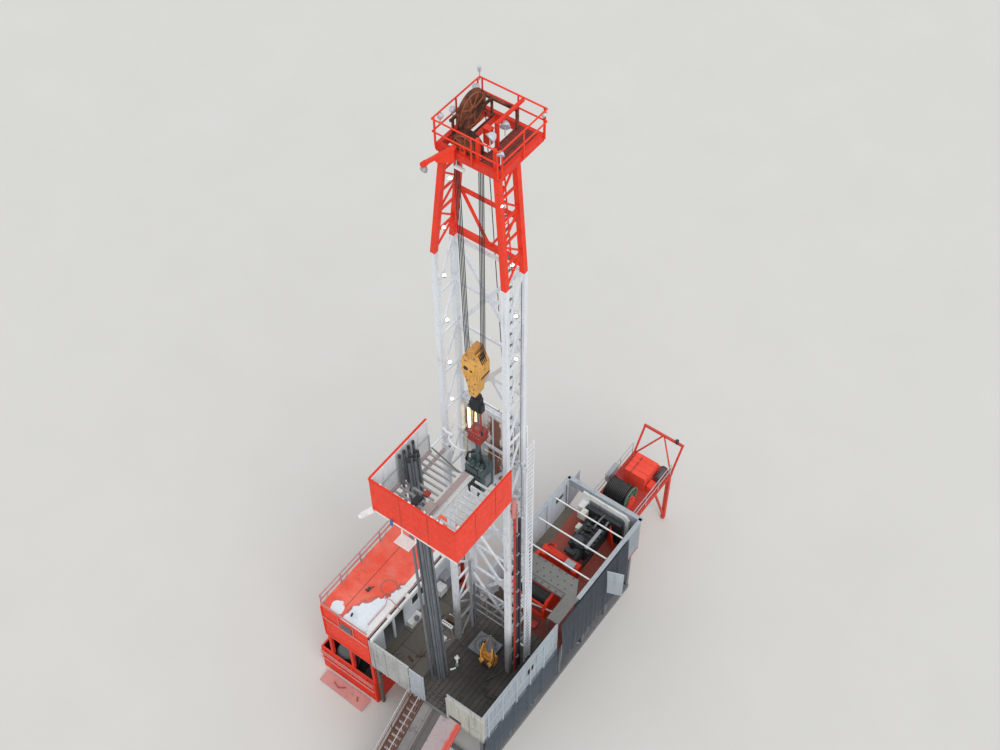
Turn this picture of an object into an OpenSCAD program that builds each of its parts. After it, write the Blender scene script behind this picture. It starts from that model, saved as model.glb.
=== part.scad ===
// Land drilling rig with a telescoping mast on a raised floor.
// X runs across the rig, +Y towards the engine house, +Z up; the ground is z = 0.
// The origin is the middle of the footprint; rig places are measured from the crown's centre line.

/* [Floor] */
// Height of the drill floor above the ground
floor_z = 4200; // [3400:50:4800]
// Thickness of the floor plating and its frame
floor_t = 160; // [80:10:300]
// Front edge of the drill floor
floor_front = -4750; // [-5000:50:-4300]
// Right edge of the drill floor
floor_right = 2600; // [2450:50:2700]
// Left edge of the drill floor, where the timber side deck starts
floor_left = -1700; // [-1800:50:-1650]
// Back end of the drill floor, where the engine deck starts
floor_back = 1150; // [1000:50:1250]
// Depth of the floor's longitudinal beams
sub_beam = 360; // [200:10:500]
// Width of the substructure's posts
sub_post = 240; // [120:10:320]

/* [Mast] */
// Middle of the mast, to the side of the crown's centre line
mast_x = -90; // [-140:10:-40]
// Half the lower mast's width between leg centres
mast_half = 1505; // [1450:5:1550]
// Front legs, distance ahead of the crown's centre line
mast_front = -1150; // [-1250:10:-1100]
// Back legs at their feet
foot_back = 450; // [300:10:600]
// Back legs of the upper mast
mast_back = -110; // [-150:10:-50]
// Joint between the lower and the upper mast
joint_z = 20400; // [19800:50:20800]
// Change from the straight white mast to the tapered red top
taper_z = 31600; // [31000:50:32000]
// Half the width of the mast under the crown
top_half = 1050; // [950:10:1150]
// Width of a leg of the lower mast
leg_w = 240; // [180:10:280]
// Width of a leg of the upper mast
upper_leg_w = 200; // [140:10:240]
// Width of the bracing bars
brace_w = 90; // [60:5:120]
// Lowest bar of the mast's back bracing
portal_z = 6850; // [6600:50:7200]

/* [Crown] */
// Height of the crown's deck
crown_z = 36650; // [36400:10:36900]
// Half the crown's width
crown_half_x = 1235; // [1150:5:1300]
// Half the crown's depth
crown_half_y = 1155; // [1100:5:1250]
// Depth of the crown's beams
crown_beam = 300; // [200:10:350]
// Height of a handrail above its deck
rail_h = 1000; // [900:10:1100]
// Diameter of a handrail tube
rail_d = 60; // [40:5:70]
// Diameter of the crown's rope sheaves
sheave_d = 1000; // [900:10:1040]
// Diameter of the large sheave of the fast line
fast_d = 1400; // [1250:10:1440]
// Place of that sheave, to the side of the crown's centre line
fast_x = -750; // [-770:10:-740]
// Number of sheaves on the crown's shaft
sheave_count = 4; // [3:1:5]
// Pitch of the sheaves along the shaft
sheave_pitch = 80; // [78:1:84]

/* [Travelling gear] */
// Well centre, to the side of the crown's centre line
well_x = -220; // [-260:10:-100]
// Well centre, ahead of the crown's centre line
well_y = -820; // [-825:5:-800]
// Height of the travelling block's top
block_top = 27200; // [24000:50:28500]
// Width of the travelling block
block_w = 900; // [700:10:1000]
// Depth of the travelling block from its front plate to its back plate
block_d = 560; // [480:10:640]
// Diameter of the travelling block's sheaves
block_sheave_d = 700; // [600:10:740]
// Diameter of the wire rope
rope_d = 32; // [22:1:40]

/* [Racking board] */
// Height of the racking board's fingers
board_z = 20300; // [19600:50:20800]
// Half the racking board's width
board_half = 2060; // [1900:10:2200]
// Front edge of the racking board
board_front = -5190; // [-5400:10:-5000]
// Back edge of the racking board
board_back = -1710; // [-1800:10:-1600]
// Height of the racking board's walls
board_wall_h = 2100; // [1800:50:2400]
// Thickness of a racking board wall
board_wall_t = 60; // [40:5:100]
// Number of fingers on each side
finger_count = 12; // [8:1:14]
// Width of a finger
finger_w = 70; // [50:5:90]
// Diameter of a stand of drill pipe
pipe_d = 127; // [89:1:140]

/* [Doghouse] */
// Left side of the doghouse
dog_left = -7000; // [-7200:50:-6800]
// Right side of the doghouse, towards the floor
dog_right = -4080; // [-4200:20:-4000]
// Front of the doghouse
dog_front = -4800; // [-5000:50:-4700]
// Back of the doghouse
dog_back = 2600; // [2000:50:3000]
// Height of the doghouse walls
dog_h = 2700; // [2500:50:2900]
// Thickness of the doghouse walls
dog_t = 90; // [60:5:140]
// Width of a doghouse doorway
dog_door_w = 700; // [600:10:760]
// Height of a doghouse doorway
dog_door_h = 2000; // [1900:10:2100]
// Height of the skid box under the doghouse
skid_h = 2100; // [1800:50:2400]
// Left side of the skid box
skid_left = -7650; // [-7700:50:-7300]

/* [Windwalls and V-door] */
// Top of the windwalls above the floor
wind_h = 2500; // [2300:50:2600]
// Thickness of a windwall
wind_t = 60; // [40:5:100]
// Left end of the V-door opening
vdoor_left = -900; // [-950:10:-800]
// Right end of the V-door opening
vdoor_right = 620; // [560:10:800]
// Left side of the stair beside the ramp
stair_left = -1620; // [-1700:10:-1550]
// Depth of the trough that guides pipe up the ramp
trough_d = 60; // [30:5:80]
// Foot of the ramp
ramp_foot = -11000; // [-11400:50:-10600]

/* [Engine house] */
// Left wall of the engine house
eng_left = -1750; // [-1800:50:-1650]
// Back wall of the engine house
eng_back = 8400; // [8000:50:8600]
// Height of the engine house walls above the floor
eng_h = 2500; // [2300:50:2700]
// Thickness of the engine house walls
eng_t = 100; // [60:5:140]
// Width of a door leaf
door_w = 900; // [700:10:950]
// Height of a door leaf
door_h = 2000; // [1900:10:2100]
// Thickness of a door leaf
door_t = 50; // [30:5:60]
// Opening angle of the doors as they stand
door_open = 70; // [40:5:90]

/* [Tail skid] */
// Left side of the tail skid
tail_left = -780; // [-900:10:-700]
// Right side of the tail skid
tail_right = 1680; // [1600:10:1800]
// Back end of the tail skid
tail_back = 14200; // [13800:50:14600]
// Diameter of the cable reel
reel_d = 1300; // [1100:10:1400]

/* [Hidden] */

white = [0.86, 0.87, 0.87];
red = [0.85, 0.16, 0.08];
deck_grey = [0.30, 0.29, 0.28];
steel = [0.42, 0.44, 0.46];
panel_grey = [0.66, 0.70, 0.72];
black = [0.10, 0.10, 0.11];
yellow = [0.80, 0.55, 0.15];
rust = [0.36, 0.20, 0.14];

// Bounds of the whole rig, and from them the shift to the middle of the footprint
x_low = skid_left;
seat = 0.3;
barrel_d = 60;
eng_right = floor_right + wind_t;
upper_half = mast_half - (leg_w - upper_leg_w) / 2;
side_hinge_x = eng_right + barrel_d / 2 + 5;
leaf_start = barrel_d / 2 + 5;
x_high = side_hinge_x + door_t / 2 * cos(door_open) + (leaf_start + door_w) * sin(door_open);
rig_x = -(x_low + x_high) / 2;
rig_y = -(ramp_foot + tail_back) / 2;
under_floor = floor_z - floor_t;
wall_top = floor_z + wind_h;
crown_under = crown_z - crown_beam;

// Straight bar of rectangular section between two points
module bar(p, q, w, d) {
    v = q - p;
    l = norm(v);
    translate(p) rotate([0, acos(v[2] / l), atan2(v[1], v[0])])
        translate([-w / 2, -d / 2, 0]) cube([w, d, l]);
}

// Round bar between two points
module rod(p, q, d, sides = 8) {
    v = q - p;
    l = norm(v);
    translate(p) rotate([0, acos(v[2] / l), atan2(v[1], v[0])]) cylinder(h = l, d = d, $fn = sides);
}

// Block from one corner to the other
module block(p, q) {
    translate(p) cube(q - p);
}

// Everything measured from the crown's centre line is moved to the middle of the footprint
module at_rig() {
    translate([rig_x, rig_y, 0]) children();
}

// Leg with level ends, so that its inner and outer faces are planes along Y
module leg(p, q, w) {
    h = w / 2;
    hull() {
        block([p[0] - h, p[1] - h, p[2]], [p[0] + h, p[1] + h, p[2] + 1]);
        block([q[0] - h, q[1] - h, q[2] - 1], [q[0] + h, q[1] + h, q[2]]);
    }
}

// Flat bracing between two legs given by their feet and heads, with bays of one diagonal each;
// its diagonals turn at each bay where zigzag is true
module lattice(f1, h1, f2, h2, bays, b, zigzag) {
    d = b * 0.84;
    for (i = [0 : bays - 1]) {
        a = f1 + (h1 - f1) * i / bays;
        c = f2 + (h2 - f2) * i / bays;
        a2 = f1 + (h1 - f1) * (i + 1) / bays;
        c2 = f2 + (h2 - f2) * (i + 1) / bays;
        if (i > 0) bar(a, c, b, b);
        if (i % 2 == 0 || !zigzag) bar(a, c2, d, d);
        else bar(c, a2, d, d);
    }
}

// Keeps what lies between two heights
module trim_z(z1, z2) {
    r = 4000;
    intersection() {
        children();
        block([-r, -r, z1], [r, r, z2]);
    }
}

// Keeps what lies between the legs' inner faces, given by two half widths at two heights
module between_legs(z1, x1a, x1b, z2, x2a, x2b) {
    r = 2000;
    intersection() {
        children();
        translate([0, r, 0]) rotate([90, 0, 0]) linear_extrude(2 * r)
            polygon([[x1a, z1], [x1b, z1], [x2b, z2], [x2a, z2]]);
    }
}

// Hinge: the barrels turn with the leaf, and each rests on a bracket of the frame
barrel_l = 140;
sill = floor_z + 10;
barrel_z = [250, 1550];
bracket_t = 30;
strap_t = 16;
module barrels() {
    for (z = barrel_z) {
        translate([0, 0, z]) cylinder(h = barrel_l, d = barrel_d, $fn = 24);
        translate([-strap_t / 2, 0, z]) cube([strap_t, leaf_start + 1, barrel_l]);
    }
}
module brackets(reach) {
    for (z = barrel_z) translate([0, 0, z - seat - bracket_t]) {
        translate([-barrel_d / 2, -reach, 0]) cube([barrel_d, reach, bracket_t]);
        cylinder(h = bracket_t, d = barrel_d, $fn = 24);
    }
}
module leaf(w, h) {
    translate([-door_t / 2, leaf_start, 0]) cube([door_t, w, h]);
    barrels();
}

/* Substructure */
module sub_side(x) {
    z1 = under_floor;
    y1 = floor_front + 150;
    y2 = eng_back - 150;
    block([x - sub_post / 2, y1, 0], [x + sub_post / 2, y2, sub_beam]);
    block([x - sub_post / 2, y1, z1 - sub_beam], [x + sub_post / 2, y2, z1]);
    bays = 6;
    for (i = [0 : bays]) {
        y = y1 + sub_post / 2 + (y2 - y1 - sub_post) * i / bays;
        w = sub_post * 0.8;
        block([x - w / 2, y - w / 2, sub_beam / 2], [x + w / 2, y + w / 2, z1 - sub_beam / 2]);
        if (i < bays) {
            yn = y1 + sub_post / 2 + (y2 - y1 - sub_post) * (i + 1) / bays;
            b = sub_post * 0.55;
            if (i % 2 == 0) bar([x, y, sub_beam / 2], [x, yn, z1 - sub_beam / 2], b, b);
            else bar([x, yn, sub_beam / 2], [x, y, z1 - sub_beam / 2], b, b);
        }
    }
}
sub_x_left = floor_left + 160;
sub_x_right = floor_right - 260;
module substructure_left() { color(steel) at_rig() sub_side(sub_x_left); }
module substructure_right() { color(steel) at_rig() sub_side(sub_x_right); }
module substructure_cross() {
    z1 = under_floor;
    x1 = sub_x_left + sub_post / 2;
    x2 = sub_x_right - sub_post / 2;
    y1 = floor_front + 150;
    y2 = eng_back - 150;
    color(steel) at_rig() for (i = [0 : 4]) {
        y = y1 + 160 + (y2 - y1 - 320) * i / 4;
        block([x1, y - 80, z1 - 300], [x2, y + 80, z1]);
        block([x1, y - 80, 0], [x2, y + 80, 260]);
    }
}

/* Floors */
well_hole = 700;
module drill_floor() {
    color(deck_grey) at_rig() difference() {
        block([floor_left, floor_front, under_floor], [floor_right, floor_back, floor_z]);
        translate([well_x, well_y, under_floor - 1]) cylinder(h = floor_t + 2, d = well_hole, $fn = 48);
    }
}
module side_deck() {
    color([0.45, 0.41, 0.35]) at_rig() {
        block([dog_right, floor_front, under_floor], [floor_left, floor_back, floor_z]);
        for (y = [floor_front + 100, floor_back - 260])
            block([dog_right + 60, y, 0], [dog_right + 220, y + 160, under_floor]);
    }
}
module rotary_table() {
    color(steel) at_rig() translate([well_x, well_y, floor_z]) difference() {
        union() {
            translate([-650, -550, 0]) cube([1300, 1100, 140]);
            translate([0, 0, 139]) cylinder(h = 90, d = 900, $fn = 48);
        }
        translate([0, 0, -1]) cylinder(h = 300, d = 445, $fn = 48);
    }
}
neck_x = well_x + 640;
neck_y = well_y - 430;
module roughneck() {
    color(yellow) at_rig() translate([neck_x, neck_y, floor_z]) {
        translate([-330, -420, 140]) cube([560, 500, 100]);
        translate([-300, -380, 0]) cube([120, 120, 141]);
        for (s = [-1, 1]) {
            bar([s * 330, -60, 200], [s * 330, -100, 1100], 90, 130);
            bar([s * 330, -100, 1060], [s * 90, 60, 1960], 90, 110);
            translate([s * 330 - 60, -260, 240]) cube([120, 300, 260]);
        }
        translate([-380, -190, 420]) cube([760, 260, 420]);
        translate([-250, -260, 240]) cube([500, 420, 340]);
        translate([-160, -60, 1840]) cube([320, 240, 160]);
        translate([0, 60, 1700]) cylinder(h = 420, d = 90, $fn = 24);
    }
}

/* Mast */
module mast_side(s) {
    x = mast_x + s * mast_half;
    f1 = [x, mast_front, floor_z];
    h1 = [x, mast_front, joint_z];
    f2 = [x, foot_back, floor_z];
    h2 = [x, mast_back, joint_z];
    leg(f1, h1, leg_w);
    leg(f2, h2, leg_w);
    up = (h2 - f2) / norm(h2 - f2) * leg_w;
    trim_z(floor_z, joint_z) lattice(f1 - up, h1 + up, f2 - up, h2 + up, 9, brace_w, true);
}
module mast_left() { color(white) at_rig() mast_side(-1); }
module mast_right() { color(white) at_rig() mast_side(1); }

// Panels of crossed bars between two heights, each with a bar across its middle and a gusset
module back_panels(z1, z2, y1, y2, half, panels) {
    b = brace_w;
    d = b * 0.8;
    reach = half + leg_w;
    between_legs(z1 - b, mast_x - half, mast_x + half, z2 + b, mast_x - half, mast_x + half)
        for (i = [0 : 2 * panels]) {
            t = i / 2 / panels;
            t2 = t + 1 / panels;
            y = y1 + (y2 - y1) * t;
            z = z1 + (z2 - z1) * t;
            bar([mast_x - reach, y, z], [mast_x + reach, y, z], b, b);
            if (i % 2 == 0 && i < 2 * panels) for (s = [-1, 1]) {
                p = [mast_x - s * half, y, z];
                q = [mast_x + s * half, y1 + (y2 - y1) * t2, z1 + (z2 - z1) * t2];
                over = (q - p) / norm(q - p) * leg_w;
                bar(p - over, q + over, d, d);
            }
            if (i % 2 == 1)
                block([mast_x - 2 * b, y - b / 2, z - 2 * b], [mast_x + 2 * b, y + b / 2, z + 2 * b]);
        }
}
module mast_back() {
    lean = (portal_z - floor_z) / (joint_z - floor_z);
    y1 = foot_back + (mast_back - foot_back) * lean;
    color(white) at_rig()
        back_panels(portal_z, joint_z - brace_w, y1, mast_back, mast_half - leg_w / 2, 3);
}
upper_bays = 5;
upper_bay = (taper_z - joint_z) / upper_bays;
module upper_side(s) {
    x = mast_x + s * upper_half;
    f1 = [x, mast_front, joint_z];
    h1 = [x, mast_front, taper_z];
    f2 = [x, mast_back, joint_z];
    h2 = [x, mast_back, taper_z];
    leg(f1, h1, upper_leg_w);
    leg(f2, h2, upper_leg_w);
    trim_z(joint_z, taper_z) lattice(f1, h1, f2, h2, upper_bays, brace_w * 0.9, false);
}
module upper_left() { color(white) at_rig() upper_side(-1); }
module upper_right() { color(white) at_rig() upper_side(1); }
module upper_back() {
    color(white) at_rig() back_panels(joint_z + upper_bay, taper_z - brace_w, mast_back, mast_back,
        upper_half - upper_leg_w / 2, 2);
}
module top_side(s) {
    f1 = [mast_x + s * upper_half, mast_front, taper_z];
    h1 = [s * top_half, mast_front + 130, crown_under];
    f2 = [mast_x + s * upper_half, mast_back, taper_z];
    h2 = [s * top_half, mast_back + 30, crown_under];
    leg(f1, h1, upper_leg_w);
    leg(f2, h2, upper_leg_w);
    trim_z(taper_z, crown_under) lattice(f1, h1, f2, h2, 5, brace_w * 0.8, true);
}
module top_left() { color(red) at_rig() top_side(-1); }
module top_right() { color(red) at_rig() top_side(1); }

// Back of the red top: its bars end at the legs' inner faces, whose places follow from the taper
girder_h = 220;
girder_z = taper_z + 350;
module top_back() {
    y = mast_back;
    gap = upper_leg_w / 2 + seat;
    mid = (taper_z + crown_under) / 2;
    reach = upper_half + 200;
    color(red) at_rig() between_legs(taper_z, mast_x - upper_half + gap, mast_x + upper_half - gap,
        crown_under, -top_half + gap, top_half - gap) {
        block([-reach, y - 80, girder_z - girder_h / 2], [reach, y + 80, girder_z + girder_h / 2]);
        block([-reach, y - 60, mid - 55], [reach, y + 60, mid + 55]);
        for (s = [-1, 1]) bar([s * (top_half + 200), y, mid + 190], [s * 12, y, girder_z - 20], 84, 84);
    }
}

/* Crown */
crown_bar = 160;
sheave_t = 60;
shaft_d = 120;
shaft_hole = shaft_d + 2 * seat;
sheave_z = crown_z + 200;
cluster_y = well_y;
cluster_half = (sheave_count - 1) / 2 * sheave_pitch + sheave_t / 2;
cross_y = cluster_y + cluster_half + 18;
inner_x = well_x + sheave_d / 2 + 70;
fast_y = cross_y + fast_d / 2 + 5;
fast_z = crown_z + fast_d / 2 + 20;
fast_t = 90;
fast_gap = 200;
bearing_l = 70;
module bearing(d) {
    rotate([90, 0, 0]) difference() {
        union() {
            cylinder(h = bearing_l, d = shaft_d + 100, center = true, $fn = 32);
            translate([-110, -d, -bearing_l / 2]) cube([220, d, bearing_l]);
        }
        cylinder(h = bearing_l + 2, d = shaft_hole, center = true, $fn = 32);
    }
}
cluster_front = -crown_half_y + crown_bar / 2;
cluster_rear = cross_y + 40;
post_w = 110;
gin_y = -200;
gin_z = crown_z + rail_h;
module crown_frame() {
    b = crown_bar;
    x = crown_half_x;
    y = crown_half_y;
    color(red) at_rig() {
        difference() {
            block([-x, -y, crown_under], [x, y, crown_z]);
            block([-x + b, -y + b, crown_under - 1], [x - b, y - b, crown_z + 1]);
        }
        block([inner_x, -y + b - 1, crown_under], [inner_x + b, y - b + 1, crown_z - 1]);
        // Walkway plate between the inner beam and the right beam
        block([inner_x + b - 1, -y + b - 1, crown_z - 40], [x - b + 1, y - b + 1, crown_z - 2]);
        block([-x + b - 1, cross_y, crown_under + 1], [inner_x + 1, cross_y + 80, crown_z]);
        for (s = [-1, 1]) {
            q = fast_x + s * fast_gap;
            block([q - 45, cross_y + 79, crown_under + 2], [q + 45, y - b + 1, crown_z]);
        }
        for (q = [cluster_front, cluster_rear])
            translate([well_x, q, sheave_z]) bearing(sheave_z - crown_z + 1);
        // Gin pole for lifting sheaves: a post and its arm to the back edge
        block([inner_x + b / 2 - post_w / 2, gin_y - post_w / 2, crown_z - 2],
            [inner_x + b / 2 + post_w / 2, gin_y + post_w / 2, gin_z]);
        block([inner_x + b / 2 - 50, gin_y - post_w / 2, gin_z - 100], [inner_x + b / 2 + 50, y, gin_z]);
    }
}
rail_out = 20;
// Handrail post outside the crown, on two foot plates that reach back to the beam's outer face
module rail_post(x, y, to_x) {
    low = crown_z - 160;
    rod([x, y, low], [x, y, crown_z + rail_h - rail_d / 2], rail_d);
    reach = rail_out + rail_d / 2 - seat;
    for (z = [low + 10, low + 110]) translate([x, y, z]) {
        if (to_x) translate([x > 0 ? -reach : 0, -30, 0]) cube([reach, 60, 30]);
        else translate([-30, y > 0 ? -reach : 0, 0]) cube([60, reach, 30]);
    }
}
module crown_rails() {
    x = crown_half_x + rail_out + rail_d / 2;
    y = crown_half_y + rail_out + rail_d / 2;
    color(red) at_rig() {
        for (h = [0.5, 1]) {
            z = crown_z + rail_h * h - rail_d / 2;
            for (s = [-1, 1]) {
                rod([s * x, -y, z], [s * x, y, z], rail_d);
                rod([-x, s * y, z], [x, s * y, z], rail_d);
            }
        }
        for (s = [-1, 1]) {
            for (t = [-y + 100, 0, y - 100]) rail_post(s * x, t, true);
            for (t = [-x + 100, 200, x - 100]) rail_post(t, s * y, false);
        }
    }
}
module sheave(d, t, hub) {
    difference() {
        union() {
            cylinder(h = t, d = d, center = true, $fn = 48);
            cylinder(h = t + 16, d = hub, center = true, $fn = 32);
        }
        rotate_extrude($fn = 48) translate([d / 2 + 8, 0]) circle(d = t * 0.9, $fn = 16);
    }
}
module crown_sheaves() {
    color(rust) at_rig() translate([well_x, cluster_y, sheave_z]) rotate([90, 0, 0]) {
        for (i = [0 : sheave_count - 1])
            translate([0, 0, (i - (sheave_count - 1) / 2) * sheave_pitch]) sheave(sheave_d, sheave_t, 260);
        l1 = cluster_y - cluster_front + bearing_l / 2;
        l2 = cluster_rear - cluster_y + bearing_l / 2;
        translate([0, 0, -l2]) cylinder(h = l1 + l2, d = shaft_d, $fn = 32);
    }
}

// Two raised bars carry the fast sheave on posts, joined by a beam across the back
stand_front = cross_y + 40;
stand_back = fast_y + fast_d / 2 + 60;
module fast_stand() {
    b = 90;
    color(rust) at_rig() {
        for (s = [-1, 1]) {
            x = fast_x + s * fast_gap;
            difference() {
                union() {
                    block([x - 35, stand_front - 130, fast_z - b / 2],
                        [x + 35, stand_back + b, fast_z + b / 2]);
                    translate([x, fast_y, fast_z]) rotate([0, 90, 0])
                        cylinder(h = bearing_l, d = shaft_d + 100, center = true, $fn = 32);
                }
                translate([x, fast_y, fast_z]) rotate([0, 90, 0])
                    cylinder(h = bearing_l + 2, d = shaft_hole, center = true, $fn = 32);
            }
            for (y = [stand_front - 30, stand_back])
                block([x - 35, y, crown_z + seat], [x + 35, y + b * 0.7, fast_z]);
            bar([x, stand_back + 20, crown_z + 40], [x, fast_y + 260, fast_z - 10], 50, 60);
        }
        block([fast_x - fast_gap - 34, stand_back + 1, fast_z - b / 2 + 1],
            [inner_x + 60, stand_back + b - 1, fast_z + b / 2 - 1]);
        block([inner_x + 20, stand_back + 2, crown_z - 1 + seat],
            [inner_x + 90, stand_back + b - 2, fast_z]);
    }
}
module fast_sheave() {
    l = fast_gap + bearing_l / 2;
    color(rust) at_rig() translate([fast_x, fast_y, fast_z]) rotate([0, 90, 0]) {
        sheave(fast_d, fast_t, 260);
        cylinder(h = 2 * l, d = shaft_d, center = true, $fn = 32);
    }
}

/* Racking board */
board_bar = 120;
finger_x = board_half - board_wall_t - board_bar;
finger_y = board_front + board_wall_t + board_bar;
finger_pitch = (board_back - finger_y) / finger_count;
knee_y = board_front + 1800;
knee_z = board_z - 6700;
module racking_board() {
    f = board_bar;
    x = board_half - board_wall_t;
    y1 = board_front + board_wall_t;
    color(steel) at_rig() {
        for (s = [-1, 1]) {
            block([s > 0 ? x - f : -x, y1, board_z], [s > 0 ? x : -x + f, board_back, board_z + f]);
            xm = mast_x + s * mast_half;
            ym = mast_front - leg_w / 2;
            block([xm - f / 2, y1 + f / 2, board_z - f + 1], [xm + f / 2, ym, board_z + 1]);
            // Knee brace from the board's bearer down to the mast's front leg
            hull() {
                block([xm - 45, knee_y - 70, board_z - f], [xm + 45, knee_y + 70, board_z - f + 2]);
                block([xm - 45, ym - 1, knee_z - 80], [xm + 45, ym, knee_z + 80]);
            }
        }
        block([-x, y1, board_z], [x, y1 + f, board_z + f]);
        block([-260, y1 + f / 2, board_z + 1], [200, board_back, board_z + 60]);
    }
}
module fingers() {
    color(steel) at_rig() for (s = [-1, 1]) for (i = [0 : finger_count - 1]) {
        y = finger_y + finger_pitch * (i + 0.5);
        xa = s * finger_x;
        xb = s * 380;
        block([min(xa, xb), y - finger_w / 2, board_z + 1], [max(xa, xb), y + finger_w / 2, board_z + 90]);
    }
}
module board_panel(p, q) {
    color(red) at_rig() block(p, q);
}
module board_wall_left() {
    board_panel([-board_half, board_front + board_wall_t, board_z],
        [-board_half + board_wall_t, board_back, board_z + board_wall_h]);
}
module board_wall_right() {
    board_panel([board_half - board_wall_t, board_front + board_wall_t, board_z],
        [board_half, board_back, board_z + board_wall_h]);
}
module board_wall_front() {
    board_panel([-board_half, board_front, board_z],
        [board_half, board_front + board_wall_t, board_z + board_wall_h]);
}
// Windwall behind the racking board, on blocks against the upper mast's back legs
wall_below = 700;
wall_above = 2450;
module mast_windwall() {
    y1 = mast_back + upper_leg_w / 2;
    y2 = mast_back + leg_w / 2 + 40;
    x = upper_half + upper_leg_w / 2;
    color(white) at_rig() {
        block([mast_x - x, y2, board_z - wall_below], [mast_x + x, y2 + 60, board_z + wall_above]);
        for (s = [-1, 1]) for (z = [joint_z + 250, board_z + wall_above - 400])
            block([mast_x + s * upper_half - 50, y1, z], [mast_x + s * upper_half + 50, y2 + 1, z + 100]);
    }
}
pipe_lean = 500;
pipe_above = 1900;
module racked_pipe() {
    slope = pipe_lean / (board_z - floor_z);
    // Each stand is a slot between two fingers and a side of the board's bearer
    color(steel) at_rig() for (stand = [[5, -1], [6, -1], [7, -1], [8, -1], [6, 1], [7, 1]]) {
        y = finger_y + finger_pitch * stand[0];
        x = mast_x - mast_half + stand[1] * (board_bar / 2 + pipe_d / 2 + 50);
        rod([x + pipe_lean, y, floor_z + slope * pipe_d / 2 + 0.1],
            [x - slope * pipe_above, y, board_z + pipe_above], pipe_d, 12);
    }
}

/* Travelling gear */
block_h = 2600;
block_z = block_top - block_h;
shoulder = 1950;
waist = 1100;
cheek_t = 45;
sheave_drop = 1450;
module block_outline() {
    w = block_w;
    polygon([[-0.2 * w, 0], [0.2 * w, 0], [0.5 * w, waist], [0.48 * w, shoulder], [0.15 * w, block_h],
        [-0.15 * w, block_h], [-0.48 * w, shoulder], [-0.5 * w, waist]]);
}
// Travelling block: two cheek plates with the sheaves' shaft between them, the beam under them
// that holds the hook, and a sloping guard on each side of the ropes
module travelling_block() {
    w = block_w;
    color(yellow) at_rig() translate([well_x, well_y + block_d / 2, block_z]) rotate([90, 0, 0]) {
        difference() {
            union() {
                for (z = [0, block_d - cheek_t]) translate([0, 0, z])
                    linear_extrude(cheek_t) block_outline();
                linear_extrude(block_d) intersection() {
                    block_outline();
                    union() {
                        translate([-w, -1]) square([2 * w, 700]);
                        translate([-0.16 * w, shoulder + 60]) square([0.32 * w, block_h]);
                    }
                }
            }
            translate([0, sheave_drop, -1]) cylinder(h = block_d + 2, d = shaft_hole, $fn = 32);
            // Opening of the front cover's grille
            translate([-0.2 * w, waist + 50, block_d - cheek_t - 1]) cube([0.4 * w, 150, cheek_t + 2]);
        }
        for (s = [-1, 1]) translate([s * 0.5 * w - (s > 0 ? cheek_t : 0), waist - 250, 0])
            cube([cheek_t, 420, block_d]);
    }
}
module block_sheaves() {
    color(rust) at_rig() translate([well_x, well_y, block_z + sheave_drop]) rotate([90, 0, 0]) {
        for (i = [0 : sheave_count - 1]) translate([0, 0, (i - (sheave_count - 1) / 2) * sheave_pitch])
            sheave(block_sheave_d, sheave_t, 200);
        cylinder(h = block_d, d = shaft_d, center = true, $fn = 32);
    }
}
hook_h = 1100;
module hook() {
    color(black) at_rig() translate([well_x, well_y, block_z]) {
        translate([0, 0, -360]) cylinder(h = 360, d = 300, $fn = 32);
        translate([0, 0, -480]) cylinder(h = 150, d = 420, $fn = 32);
        translate([-200, -150, -hook_h]) cube([400, 300, hook_h - 400]);
        for (s = [-1, 1]) translate([s * 240 - 50, -110, -hook_h]) cube([100, 220, 420]);
    }
}
bail_l = 1300;
swivel_h = 600;
stem_l = 1650;
motor_h = 1450;
quill_l = 500;
module top_drive() {
    z1 = -bail_l;
    z2 = z1 - swivel_h;
    z3 = z2 - stem_l;
    z4 = z3 - motor_h;
    color(black) at_rig() translate([well_x, well_y, block_z - hook_h]) {
        for (s = [-1, 1]) {
            translate([s * 150 - 70, -60, -120]) cube([140, 120, 120]);
            rod([s * 190, 0, z1 - 20], [s * 150, 0, -60], 80);
        }
        translate([-300, -250, z2]) cube([600, 500, swivel_h]);
        translate([0, 0, z1 - 1]) cylinder(h = 120, d = 240, $fn = 24);
        translate([0, 0, z3 - 1]) cylinder(h = stem_l + 2, d = 220, $fn = 24);
        // Gooseneck for the mud hose
        rod([-250, 60, z2 + 300], [-530, 60, z2 + 120], 130);
        rod([-505, 60, z2 + 190], [-555, 60, z2 - 420], 110, 12);
        translate([-420, -380, z4]) cube([840, 760, motor_h]);
        for (s = [-1, 1]) translate([s * 265, 60, z3 - 1]) cylinder(h = 480, d = 280, $fn = 24);
        translate([0, 0, z4 - quill_l]) cylinder(h = quill_l + 1, d = 200, $fn = 24);
    }
}
function groove_r(d, t) = d / 2 + 8 - 0.45 * t + rope_d / 2 + seat;
module drilling_lines() {
    x1 = groove_r(block_sheave_d, sheave_t);
    x2 = groove_r(sheave_d, sheave_t);
    color(black) at_rig() for (s = [-1, 1]) for (i = [0 : sheave_count - 1]) {
        y = cluster_y + (i - (sheave_count - 1) / 2) * sheave_pitch;
        rod([well_x + s * x1, y, block_z + sheave_drop], [well_x + s * x2, y, sheave_z], rope_d);
    }
}
drum_y = floor_back + 1650;
drum_z = floor_z + 700;
drum_d = 700;
line_x = -640;
module fast_line() {
    reach = groove_r(fast_d, fast_t);
    y = drum_y - drum_d / 2 - rope_d / 2 - 2 * seat;
    color(black) at_rig() rod([fast_x, fast_y + reach, fast_z], [line_x, y, drum_z], rope_d);
}

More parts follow.
